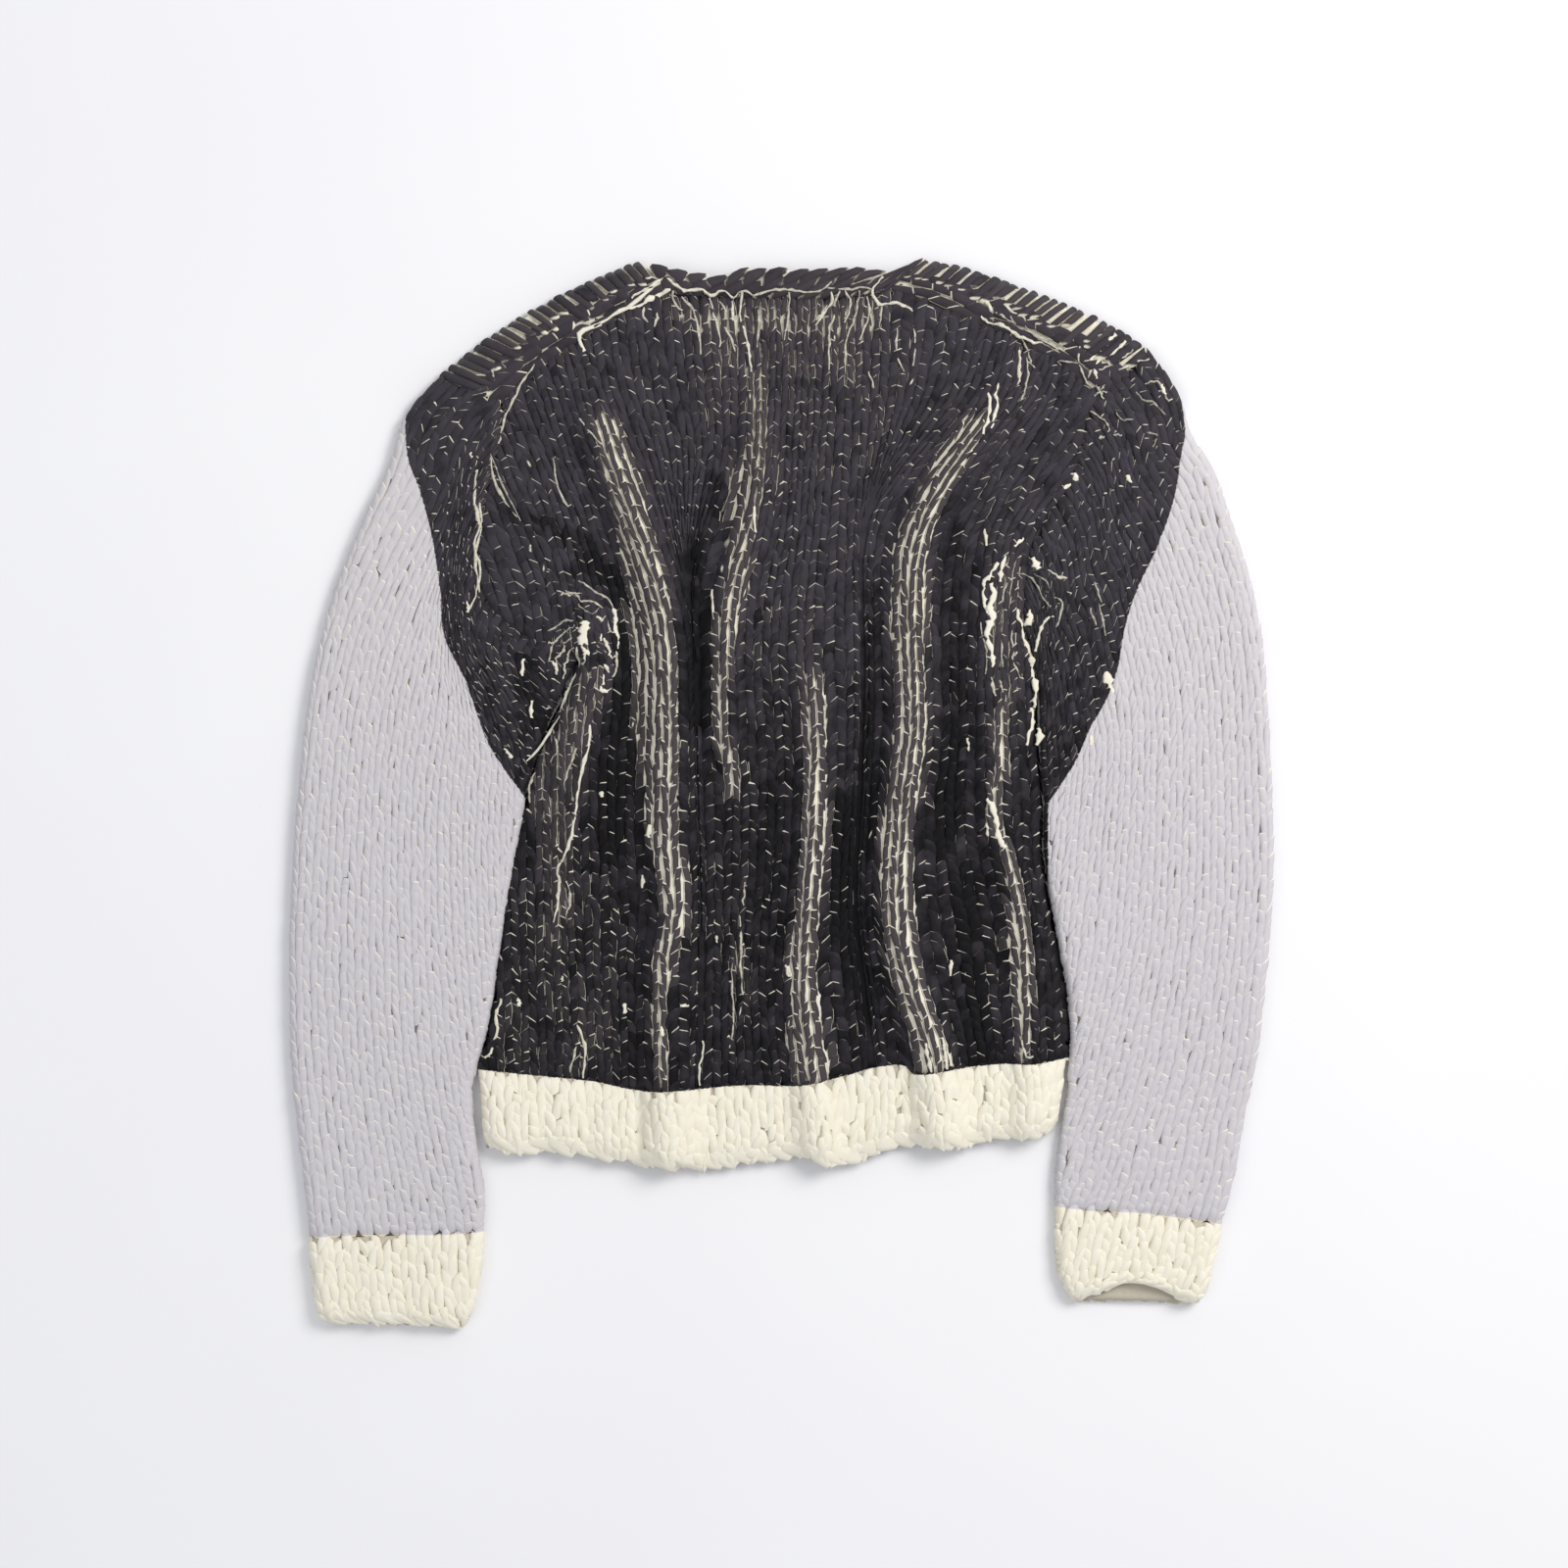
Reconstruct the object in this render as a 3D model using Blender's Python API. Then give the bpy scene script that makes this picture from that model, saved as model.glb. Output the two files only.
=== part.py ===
"""A hand-knitted chunky pullover laid flat with its back up.

Every size in the tables is in millimetres, seen from above: x runs to the right,
y towards the neck and z up from the surface. The meshes are made in metres.
The origin is on the surface, below the middle of the garment's bounding box.
The front panel lies below the back panel, and its shoulders fold over the top
edge to meet the back at the shoulder seams. Sleeves, cuffs and hem are
flattened tubes, open at both ends.
"""
import math
from collections import namedtuple

import bmesh
import bpy

MM = 0.001

# Driving dimensions of the knitted cloth
WALL = 5.0              # one layer of chunky knit
LAYER_GAP = 0.3         # between two layers that lie on each other
SEAM_GAP = 0.4          # between two pieces along a seam
FLOOR_ROUND = 2.5       # how far the underside is rounded in at its rim
FLOOR_ROUND_MOST = 0.8  # the most of a column's width that this may take
TUBE_ROUND = 4.0        # the same at the sides of a tube
MIDDLE = WALL + LAYER_GAP
SLIT = 0.6              # space between the two layers of a tube
DRAW_REACH = 24.0       # how far from its sides a tube's inner outline is drawn in
SLIT_MOST = 3.4         # the same where a fold lifts the upper layer

# Heights of the upper surfaces
BODY_TOP = 11.2
HEM_TOP = 12.4
SLEEVE_TOP = 11.8
CUFF_TOP = 13.0
STRIP_TOP = 11.6
SEAM_DROP = 1.6         # how deep a sewn seam sinks
SEAM_REACH = 9.0        # how far from the seam that starts
EDGE_REACH = 10.0       # how far a free edge rounds away
RIM = 1.4               # height left on a rounded side edge
UNDERARM_BLEND = 0.05   # share of a panel over which its free side becomes a sewn one

# Division of the body panels: where the underarm lies between hem and shoulder,
# and where the neck begins and ends between the two shoulder tips
ARM_LEVEL = 0.58
NECK_FROM = 0.28
NECK_TO = 0.65
EDGE_COLUMNS = (0.0, 0.004, 0.014, 0.032)
LEFT_COLUMNS = 12
NECK_COLUMN_COUNT = 16
RIGHT_COLUMNS = 14
SIDE_ROWS = 13
FIRST_ROW = 0.3             # share of a row between the hem seam and the row beside it
ARM_STEPS = (0.0, 0.03, 0.09, 0.17, 0.26, 0.36, 0.46, 0.56, 0.66, 0.77, 0.88, 1.0)
FRONT_NECK_DEPTH = 72.0
FRONT_NECK_ROUND = 2.6      # 2 gives a parabola, more a squarer neckline
TINY = 1e-9

# Outlines of the body, each from the hem up or from left to right
SIDE_LEFT = ((-210, -192), (-203, -168), (-198, -140), (-195, -110), (-190, -66),
             (-183, -35), (-176, -5), (-170, 19), (-160, 46), (-150, 66),
             (-142, 84), (-140, 95))
SIDE_RIGHT = ((198, -184), (195.5, -140), (189.5, -104), (183.5, -70), (179.5, -38),
              (180, -4), (177.5, 21), (176, 44), (175.5, 74), (172, 99), (168, 115))
ARMHOLE_LEFT = ((-140, 95), (-158, 102), (-182, 111), (-202, 127), (-211, 150),
                (-210, 176), (-205, 210), (-196, 241), (-194, 271))
ARMHOLE_RIGHT = ((168, 115), (170, 135), (173, 163), (181, 182), (193, 202),
                 (204, 220), (211, 251), (219, 277))
SHOULDER_SEAM_LEFT = ((-194, 271), (-175, 288), (-150, 307), (-107, 334), (-80, 348))
SHOULDER_SEAM_RIGHT = ((73, 348), (97, 343), (128, 329), (158, 317), (190, 301), (219, 277))
BACK_NECK = ((-80, 348), (-58, 345), (-20, 344), (40, 344), (73, 348))
HEM_SEAM = ((-210, -192), (-173, -196), (-132, -200), (-91, -207), (-26, -203),
            (12, -203), (49, -195), (62, -191), (84, -189), (93, -195), (124, -191),
            (154, -188), (174, -188), (198, -184))
HEM_SEAM_BELOW = ((-210, -192), (-60, -198), (60, -196), (198, -184))
HEM_EDGE = ((-207, -243), (-187, -250), (-164, -247), (-144, -250), (-117, -254),
            (-100, -256), (-70, -260), (-40, -259), (12, -252), (36, -258),
            (62, -252), (75, -245), (87, -243), (111, -246), (132, -243),
            (149, -239), (172, -239), (191, -232))
HEM_EDGE_BELOW = ((-207, -243), (-60, -250), (60, -243), (191, -232))
NECK_TOP_EDGE = ((-97, 369.6), (-73, 362.5), (-36, 358.5), (2, 357), (36, 357.5),
                 (70, 360), (97, 370.0))
FOLD_LEFT = ((-97, 369.6), (-134, 355), (-167, 339), (-194, 323), (-216, 307), (-239, 288))
FOLD_RIGHT = ((97, 370.0), (130, 364), (178, 347), (217, 331), (246, 314), (257, 306))

# Section of a shoulder where it folds over, from its seam to the surface below:
# across is the share of the strip's width
Turn = namedtuple("Turn", "across height")
SHOULDER_TURN = (
    Turn(0.0, STRIP_TOP - SEAM_DROP),
    Turn(0.25, STRIP_TOP),
    Turn(0.6, STRIP_TOP),
    Turn(0.82, STRIP_TOP - 1.4),
    Turn(0.95, STRIP_TOP - 3.6),
    Turn(1.0, MIDDLE),
    Turn(0.95, 1.8),
    Turn(0.86, 0.0),
)

# One row for each section of a sleeve, from below the armhole seam to the cuff
Section = namedtuple("Section", "outer_x outer_y inner_x inner_y")
SLEEVE_LEFT = (
    Section(-262, 262, -146, 86),
    Section(-273, 228, -150.5, 76),
    Section(-291, 190, -156, 64),
    Section(-308, 149, -163, 49),
    Section(-321, 105, -172.5, 23),
    Section(-330, 58, -179, -3),
    Section(-337, -10, -186, -44),
    Section(-340.5, -60, -193, -84),
    Section(-342.4, -110, -198, -116),
    Section(-342, -160, -205, -162),
    Section(-340, -200, -214, -198),
    Section(-336, -240, -212, -240),
    Section(-331, -280, -206, -276),
    Section(-328, -309, -207, -305),
)
SLEEVE_RIGHT = (
    Section(276, 278, 173.5, 106),
    Section(285, 250, 176.5, 94),
    Section(301, 224, 179.5, 80),
    Section(313, 190, 181, 62),
    Section(325, 152, 181, 42),
    Section(334, 108, 182, 15),
    Section(338, 61, 184, -5),
    Section(341, 5, 183.5, -36),
    Section(342.4, -48, 188.5, -76),
    Section(340, -97, 194.5, -110),
    Section(336, -139, 200, -142),
    Section(331, -183, 201.5, -184),
    Section(322, -225, 194, -232),
    Section(316, -262, 190, -262),
    Section(306, -299, 190, -287),
)
SLEEVE_RINGS = 22
SEAM_SHAPE_REACH = 0.3      # share of the sleeve over which the armhole's curve fades
STRIP_STEPS = (0.0, 0.06, 0.2, 0.45, 0.72, 1.0)

# The same for the cuffs, from the sleeve to the open edge
CUFF_LEFT = (
    Section(-328, -309, -207, -305),
    Section(-327, -326, -208, -323),
    Section(-325, -344, -211, -344),
    Section(-322.5, -361, -215, -361),
    Section(-319, -366.5, -220, -370.4),
)
CUFF_RIGHT = (
    Section(306, -299, 190, -287),
    Section(302, -318, 190, -306),
    Section(298, -335, 191, -326),
    Section(294, -348, 196, -344),
    Section(290, -354, 201, -352),
)
RIGHT_CUFF_ARCH = 13.0      # how far the upper layer of the right cuff is drawn up
CUFF_ALONG = (0.0, 0.06, 0.2, 0.4, 0.6, 0.8, 0.93, 1.0)
CUFF_SEAM_SHARE = 0.15      # share of a cuff's length in which its seam sinks
CUFF_LIP_SHARE = 0.15       # share of its length in which the open edge thins out
CUFF_LIP_DROP = 3.0
CUFF_WAVES = 3              # gentle swells across a cuff
CUFF_WAVE_HEIGHT = 0.8
CUFF_STEPS = (0.0, 0.02, 0.06, 0.14, 0.24, 0.34, 0.44, 0.54, 0.64, 0.74, 0.84, 0.94, 0.98, 1.0)

# Standing folds of the back. The crest is given as (y, x) from the top down,
# left and right are the widths of its two flanks.
Fold = namedtuple("Fold", "name left right height fade_top fade_bottom crest")
FOLDS = (
    Fold("left underarm and side", 19, 20, 9.5, 26, 60,
         ((150, -150), (118, -136), (88, -131), (47, -141), (6, -148), (-75, -157))),
    Fold("left main", 19, 25, 13.0, 60, 0,
         ((290, -139), (244, -126), (190, -106), (142, -89), (88, -80), (-28, -80),
          (-82, -77), (-130, -81), (-260, -79))),
    Fold("centre left", 15, 21, 9.0, 40, 40,
         ((282, -19), (224, -16), (183, -23), (142, -36), (108, -42), (47, -42), (0, -30))),
    Fold("centre", 18, 16, 9.5, 60, 0,
         ((110, 18), (33, 22), (-28, 20), (-103, 15), (-143, 15), (-198, 21), (-260, 28))),
    Fold("right main", 20, 24, 13.0, 50, 0,
         ((285, 160), (248, 135), (217, 112), (176, 94), (129, 87), (47, 89), (-14, 81),
          (-82, 76), (-130, 86), (-184, 103), (-260, 113))),
    Fold("right underarm and side", 16, 22, 8.5, 30, 0,
         ((205, 172), (170, 150), (108, 145), (47, 147), (-28, 150), (-69, 160),
          (-116, 169), (-260, 173))),
    Fold("left shoulder", 14, 18, 4.5, 30, 30,
         ((245, -196), (190, -178), (150, -150))),
    Fold("low centre left", 12, 12, 3.5, 30, 30,
         ((-70, -32), (-165, -27))),
)
FOLD_BLEND = 4              # how softly two folds run into each other: higher is sharper
FOLD_ROUND = 1.3            # 1 gives a parabola across a fold, more a narrower crest
UNDERSIDE_SHARE = 0.3       # how much of a fold's rise its underside follows

# Bulges of the hem between its small recesses
Bulge = namedtuple("Bulge", "middle half_width height")
HEM_BULGES = (
    Bulge(-187, 24, 3.0),
    Bulge(-148, 17, 2.5),
    Bulge(-116, 18, 2.5),
    Bulge(34, 25, 2.0),
    Bulge(149, 14, 2.0),
)

HEM_ALONG = (0.0, 0.12, 0.4, 0.7, 0.92, 1.0)
HEM_SEAM_SHARE = 0.2        # share of the hem's depth in which its seam sinks
HEM_BULGE_SHARE = 0.33      # share of its depth in which the bulges begin
HEM_LIP_SHARE = 0.25        # share of its depth in which the open edge thins out
HEM_LIP_DROP = 3.5
HEM_CALM = 0.25             # how much of a fold's height is lost across the hem

# Chain stitches of the neck edge
LINK = 15.0
NECK_EDGE_TOP = 12.2
FRONT_NECK_EDGE_WIDTH = 9.0
LINK_RELIEF = 0.9
LINK_BULGE = 0.45           # how far a link swells beyond the line of the edge
CHAIN_TURN = (
    Turn(0.0, 0.0),
    Turn(0.0, 0.62),
    Turn(0.2, 0.93),
    Turn(0.5, 1.0),
    Turn(0.8, 0.93),
    Turn(1.0, 0.62),
    Turn(1.0, 0.12),
    Turn(0.88, 0.0),
)

CHARCOAL = (0.026, 0.023, 0.029, 1.0)
LAVENDER_GREY = (0.56, 0.55, 0.60, 1.0)
CREAM = (0.86, 0.82, 0.66, 1.0)
WOOL_ROUGHNESS = 0.9
SMOOTH_ANGLE = math.radians(50)


class Line:
    """A smooth line through a few points, read by its share of the length."""

    FINE = 12

    def __init__(self, points):
        self.spots = []
        last = len(points) - 1
        for index in range(last):
            before = points[max(index - 1, 0)]
            start = points[index]
            end = points[index + 1]
            after = points[min(index + 2, last)]
            for step in range(self.FINE):
                self.spots.append(curve_between(before, start, end, after, step / self.FINE))
        self.spots.append(tuple(float(value) for value in points[last]))
        self.lengths = [0.0]
        for one, two in zip(self.spots, self.spots[1:]):
            self.lengths.append(self.lengths[-1] + math.dist(one, two))

    def at(self, share):
        wanted = min(max(share, 0.0), 1.0) * self.lengths[-1]
        index = 0
        while index < len(self.lengths) - 2 and self.lengths[index + 1] < wanted:
            index += 1
        span = self.lengths[index + 1] - self.lengths[index]
        part = (wanted - self.lengths[index]) / span
        return mix(self.spots[index], self.spots[index + 1], part)


def curve_between(before, start, end, after, t):
    """A point of the Catmull-Rom curve from start to end."""
    point = []
    for a, b, c, d in zip(before, start, end, after):
        point.append(0.5 * (2 * b + (c - a) * t + (2 * a - 5 * b + 4 * c - d) * t * t
                            + (3 * b - a - 3 * c + d) * t ** 3))
    return tuple(point)


def mix(one, two, t):
    return tuple(a + (b - a) * t for a, b in zip(one, two))


def moved(point, towards, distance):
    """The point moved by a distance in the direction of another point."""
    span = math.dist(point, towards)
    return mix(point, towards, distance / span)


def smooth_step(t):
    t = min(max(t, 0.0), 1.0)
    return t * t * (3 - 2 * t)


def quarter_round(distance, reach):
    """0 on an edge and 1 from reach inward, as a quarter of an ellipse."""
    t = min(max(distance / reach, 0.0), 1.0)
    return math.sqrt(1 - (1 - t) ** 2)


def table_value(rows, at):
    """Reads x from rows of (y, x), sorted from high y to low, with a smooth curve."""
    if at >= rows[0][0]:
        return rows[0][1]
    for index in range(len(rows) - 1):
        upper = rows[index]
        lower = rows[index + 1]
        if at >= lower[0]:
            t = (upper[0] - at) / (upper[0] - lower[0])
            before = rows[max(index - 1, 0)]
            after = rows[min(index + 2, len(rows) - 1)]
            return curve_between(before, upper, lower, after, t)[1]
    return rows[-1][1]


def fold_rise(x, y):
    """How far the standing folds lift the cloth at a place."""
    rise = 0.0
    for fold in FOLDS:
        top = fold.crest[0][0]
        bottom = fold.crest[-1][0]
        if not bottom <= y <= top:
            continue
        aside = x - table_value(fold.crest, y)
        across = aside / (fold.right if aside > 0 else fold.left)
        if abs(across) >= 1:
            continue
        strength = 1.0
        if fold.fade_top:
            strength *= smooth_step((top - y) / fold.fade_top)
        if fold.fade_bottom:
            strength *= smooth_step((y - bottom) / fold.fade_bottom)
        rise += (fold.height * strength * (1 - across * across) ** FOLD_ROUND) ** FOLD_BLEND
    return rise ** (1 / FOLD_BLEND)


def bulge_rise(x):
    """The small bulges of the hem."""
    rise = 0.0
    for bulge in HEM_BULGES:
        across = (x - bulge.middle) / bulge.half_width
        if abs(across) < 1:
            rise = max(rise, bulge.height * (1 - across * across))
    return rise


side_left = Line(SIDE_LEFT)
side_right = Line(SIDE_RIGHT)
armhole_left = Line(ARMHOLE_LEFT)
armhole_right = Line(ARMHOLE_RIGHT)
seam_left = Line(SHOULDER_SEAM_LEFT)
seam_right = Line(SHOULDER_SEAM_RIGHT)
back_neck = Line(BACK_NECK)
hem_seam = Line(HEM_SEAM)
hem_seam_below = Line(HEM_SEAM_BELOW)
hem_edge = Line(HEM_EDGE)
hem_edge_below = Line(HEM_EDGE_BELOW)
fold_left = Line(FOLD_LEFT)
fold_right = Line(FOLD_RIGHT)


def side_point(side, armhole, row):
    if row <= ARM_LEVEL:
        return side.at(row / ARM_LEVEL)
    return armhole.at((row - ARM_LEVEL) / (1 - ARM_LEVEL))


def top_point(column):
    """The shoulder seams and the back neck, from the left shoulder tip to the right."""
    if column <= NECK_FROM:
        return seam_left.at(column / NECK_FROM)
    if column <= NECK_TO:
        return back_neck.at((column - NECK_FROM) / (NECK_TO - NECK_FROM))
    return seam_right.at((column - NECK_TO) / (1 - NECK_TO))


def body_point(column, row, bottom=hem_seam):
    """A place on the body panels, blended from their four outlines."""
    left = side_point(side_left, armhole_left, row)
    right = side_point(side_right, armhole_right, row)
    low = bottom.at(column)
    high = top_point(column)
    low_left, low_right = bottom.at(0), bottom.at(1)
    high_left, high_right = top_point(0), top_point(1)
    point = []
    for k in (0, 1):
        across = left[k] * (1 - column) + right[k] * column
        along = low[k] * (1 - row) + high[k] * row
        corners = ((low_left[k] * (1 - column) + low_right[k] * column) * (1 - row)
                   + (high_left[k] * (1 - column) + high_right[k] * column) * row)
        point.append(across + along - corners)
    return tuple(point)


def body_columns():
    """Column shares of the back, with one on each end of the neck."""
    first = EDGE_COLUMNS[-1]
    left = evenly(first, NECK_FROM, LEFT_COLUMNS)
    neck = evenly(NECK_FROM, NECK_TO, NECK_COLUMN_COUNT)
    right = evenly(NECK_TO, 1 - first, RIGHT_COLUMNS)
    return list(EDGE_COLUMNS) + left + neck + right + [1 - step for step in reversed(EDGE_COLUMNS[:-1])]


def evenly(start, end, count):
    """Values after start up to and with end."""
    return [start + (end - start) * k / count for k in range(1, count + 1)]


def body_rows():
    side = [ARM_LEVEL * k / SIDE_ROWS for k in range(SIDE_ROWS)]
    side.insert(1, side[1] * FIRST_ROW)
    return side + [ARM_LEVEL + (1 - ARM_LEVEL) * step for step in ARM_STEPS]


COLUMNS = body_columns()
ROWS = body_rows()
FRONT_ROWS = ROWS[0:SIDE_ROWS - 2:3] + ROWS[SIDE_ROWS - 2:]
SHOULDER_COLUMNS_LEFT = [c for c in COLUMNS if c <= NECK_FROM + TINY]
SHOULDER_COLUMNS_RIGHT = [c for c in COLUMNS if c >= NECK_TO - TINY]
NECK_COLUMNS = [c for c in COLUMNS if NECK_FROM + TINY < c < NECK_TO - TINY]
FRONT_COLUMNS = SHOULDER_COLUMNS_LEFT + NECK_COLUMNS[1::2] + SHOULDER_COLUMNS_RIGHT


def knit_material(name, colour):
    material = bpy.data.materials.new(name)
    material.use_nodes = True
    shader = material.node_tree.nodes["Principled BSDF"]
    shader.inputs["Base Color"].default_value = colour
    shader.inputs["Roughness"].default_value = WOOL_ROUGHNESS
    shader.inputs["Metallic"].default_value = 0.0
    material.diffuse_color = colour
    return material


class Solid:
    """Collects the points and faces of one closed piece of cloth."""

    def __init__(self):
        self.points = []
        self.faces = []

    def add(self, plan, height):
        self.points.append((plan[0] * MM, plan[1] * MM, height * MM))
        return len(self.points) - 1

    def row(self, plans, heights):
        return [self.add(plan, height) for plan, height in zip(plans, heights)]

    def strip(self, one, two, closed=False):
        """Faces between two rows with the same number of points."""
        count = len(one)
        for k in range(count if closed else count - 1):
            after = (k + 1) % count
            self.faces.append((one[k], one[after], two[after], two[k]))

    def face(self, corners):
        self.faces.append(tuple(corners))

    def build(self, name, material):
        mesh = bpy.data.meshes.new(name)
        mesh.from_pydata(self.points, [], self.faces)
        shape = bmesh.new()
        shape.from_mesh(mesh)
        bmesh.ops.recalc_face_normals(shape, faces=shape.faces)
        if shape.calc_volume(signed=True) < 0:
            bmesh.ops.reverse_faces(shape, faces=shape.faces)
        shape.to_mesh(mesh)
        shape.free()
        mesh.materials.append(material)
        mesh.shade_smooth()
        mesh.set_sharp_from_angle(angle=SMOOTH_ANGLE)
        piece = bpy.data.objects.new(name, mesh)
        bpy.context.scene.collection.objects.link(piece)
        return piece


def make_back(material):
    """The upper panel: a wall whose standing folds lift both of its faces."""
    solid = Solid()
    upper = []
    lower = []
    for row in ROWS:
        plans = [body_point(column, row) for column in COLUMNS]
        width = math.dist(plans[0], plans[-1])
        on_side = smooth_step((ARM_LEVEL - row) / UNDERARM_BLEND + 0.5)
        tops = []
        bottoms = []
        for column, plan in zip(COLUMNS, plans):
            from_edge = min(column, 1 - column) * width
            rise = fold_rise(*plan)
            free = (BODY_TOP + rise - MIDDLE - RIM) * (1 - quarter_round(from_edge, EDGE_REACH))
            sewn = SEAM_DROP * (1 - quarter_round(from_edge, SEAM_REACH))
            drop = free * on_side + sewn * (1 - on_side)
            from_hem = row / ROWS[1] * SEAM_REACH
            from_top = (1 - row) * (1 - ARM_LEVEL) / (1 - ARM_STEPS[-2]) * SEAM_REACH
            drop += SEAM_DROP * (1 - quarter_round(from_hem, SEAM_REACH))
            drop += SEAM_DROP * (1 - quarter_round(from_top, SEAM_REACH))
            inside = quarter_round(from_edge, EDGE_REACH)
            lift = min(SLIT_MOST, rise * UNDERSIDE_SHARE) * inside
            tops.append(max(BODY_TOP + rise - drop, MIDDLE + RIM))
            bottoms.append(MIDDLE + lift)
        upper.append(solid.row(plans, tops))
        lower.append(solid.row(plans, bottoms))
    close_wall(solid, upper, lower)
    return solid.build("back", material)


def close_wall(solid, upper, lower):
    """Faces of a wall from two grids of points, with its four rims."""
    for grid in (upper, lower):
        for one, two in zip(grid, grid[1:]):
            solid.strip(one, two)
    solid.strip(upper[0], lower[0])
    solid.strip(upper[-1], lower[-1])
    for side in (0, -1):
        solid.strip([row[side] for row in upper], [row[side] for row in lower])


def front_row_limit(column):
    """How far up the front reaches: to the shoulders, or less at its neckline."""
    if column <= NECK_FROM or column >= NECK_TO:
        return 1.0
    across = 2 * (column - NECK_FROM) / (NECK_TO - NECK_FROM) - 1
    arm_height = top_point(0.5)[1] - body_point(0.5, ARM_LEVEL)[1]
    depth = FRONT_NECK_DEPTH / arm_height * (1 - ARM_LEVEL)
    return 1.0 - depth * (1 - abs(across) ** FRONT_NECK_ROUND)


def front_grid_point(column, row):
    return body_point(column, row * front_row_limit(column), hem_seam_below)


def make_front(material):
    """The lower panel, flat on the surface, with its shoulders folded over on top."""
    solid = Solid()
    plans = [[front_grid_point(column, row) for column in FRONT_COLUMNS] for row in FRONT_ROWS]
    last = len(FRONT_COLUMNS) - 1
    upper = [solid.row(line, [WALL] * len(line)) for line in plans]
    belt = []
    floor = []
    for line in plans:
        inset = line[:]
        inset[0] = drawn_towards(line[0], line[1])
        inset[last] = drawn_towards(line[last], line[last - 1])
        floor.append(solid.row(inset, [0.0] * len(line)))
        belt.append((solid.add(line[0], FLOOR_ROUND), solid.add(line[last], FLOOR_ROUND)))
    for grid in (upper, floor):
        for one, two in zip(grid, grid[1:]):
            solid.strip(one, two)
    solid.strip(upper[0], floor[0])
    solid.face((upper[0][0], belt[0][0], floor[0][0]))
    solid.face((upper[0][last], belt[0][1], floor[0][last]))
    for k, side in ((0, 0), (1, last)):
        rim = [row[side] for row in upper]
        middle = [pair[k] for pair in belt]
        solid.strip(rim, middle)
        solid.strip(middle, [row[side] for row in floor])
    left_end = len(SHOULDER_COLUMNS_LEFT) - 1
    right_start = len(FRONT_COLUMNS) - len(SHOULDER_COLUMNS_RIGHT)
    solid.strip(upper[-1][left_end:right_start + 1], floor[-1][left_end:right_start + 1])
    fold_shoulder(solid, range(0, left_end + 1), upper[-1], floor[-1], belt[-1][0], fold_left)
    fold_shoulder(solid, range(last, right_start - 1, -1), upper[-1], floor[-1], belt[-1][1], fold_right)
    return solid.build("front", material)


def drawn_towards(place, neighbour):
    """The foot of a rounded rim, between a place and the one beside it."""
    span = math.dist(place, neighbour)
    return moved(place, neighbour, min(FLOOR_ROUND, span * FLOOR_ROUND_MOST))


def shoulder_share(column):
    """How far a column lies from the neck towards a shoulder tip."""
    if column <= NECK_FROM:
        return 1 - column / NECK_FROM
    return (column - NECK_TO) / (1 - NECK_TO)


def fold_shoulder(solid, indices, upper, floor, belt, fold):
    """The stretch of a shoulder that folds over the top edge onto the shown side."""
    lines = []
    for index in indices:
        column = FRONT_COLUMNS[index]
        outer = fold.at(shoulder_share(column))
        near = moved(top_point(column), outer, SEAM_GAP)
        line = [solid.add(near, WALL)]
        for turn in SHOULDER_TURN:
            line.append(solid.add(mix(near, outer, turn.across), turn.height))
        lines.append((index, line))
    for (one_index, one), (two_index, two) in zip(lines, lines[1:]):
        solid.face((upper[one_index], upper[two_index], two[0], one[0]))
        for k in range(len(one) - 1):
            solid.face((one[k], two[k], two[k + 1], one[k + 1]))
        solid.face((one[-1], two[-1], floor[two_index], floor[one_index]))
    first_index, first = lines[0]
    solid.face([upper[first_index]] + first + [floor[first_index], belt])
    last_index, final = lines[-1]
    solid.face([upper[last_index]] + final + [floor[last_index]])


def tube_loops(top_line, under_line, top_heights, wall=WALL):
    """Outer and inner outline of one section of a flattened tube.

    Both lines run from the outer to the inner side and share their two ends.
    """
    outer = []
    inner = []
    for plan, drawn_in, height in zip(top_line, drawn_in_line(top_line, wall), top_heights):
        from_edge = min(math.dist(plan, top_line[0]), math.dist(plan, top_line[-1]))
        round_off = quarter_round(from_edge, EDGE_REACH)
        outer.append((plan, MIDDLE + (height - MIDDLE) * round_off))
        slit = min(max(height - 2 * wall, SLIT), SLIT_MOST)
        inner.append((drawn_in, wall + SLIT / 2 + (slit - SLIT / 2) * round_off))
    under = list(zip(under_line, drawn_in_line(under_line, wall)))
    for plan, drawn_in in reversed(under[1:-1]):
        from_edge = min(math.dist(plan, under_line[0]), math.dist(plan, under_line[-1]))
        outer.append((plan, MIDDLE * (1 - quarter_round(from_edge, TUBE_ROUND))))
        inner.append((drawn_in, wall))
    return outer, inner


def drawn_in_line(line, wall):
    """The places of a line, drawn in along it near both ends by the thickness of the wall."""
    lengths = [0.0]
    for one, two in zip(line, line[1:]):
        lengths.append(lengths[-1] + math.dist(one, two))
    total = lengths[-1]
    places = []
    for length in lengths:
        wanted = length + wall * max(0.0, 1 - length / DRAW_REACH)
        wanted -= wall * max(0.0, 1 - (total - length) / DRAW_REACH)
        index = 0
        while lengths[index + 1] < wanted:
            index += 1
        part = (wanted - lengths[index]) / (lengths[index + 1] - lengths[index])
        places.append(mix(line[index], line[index + 1], part))
    return places


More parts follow.
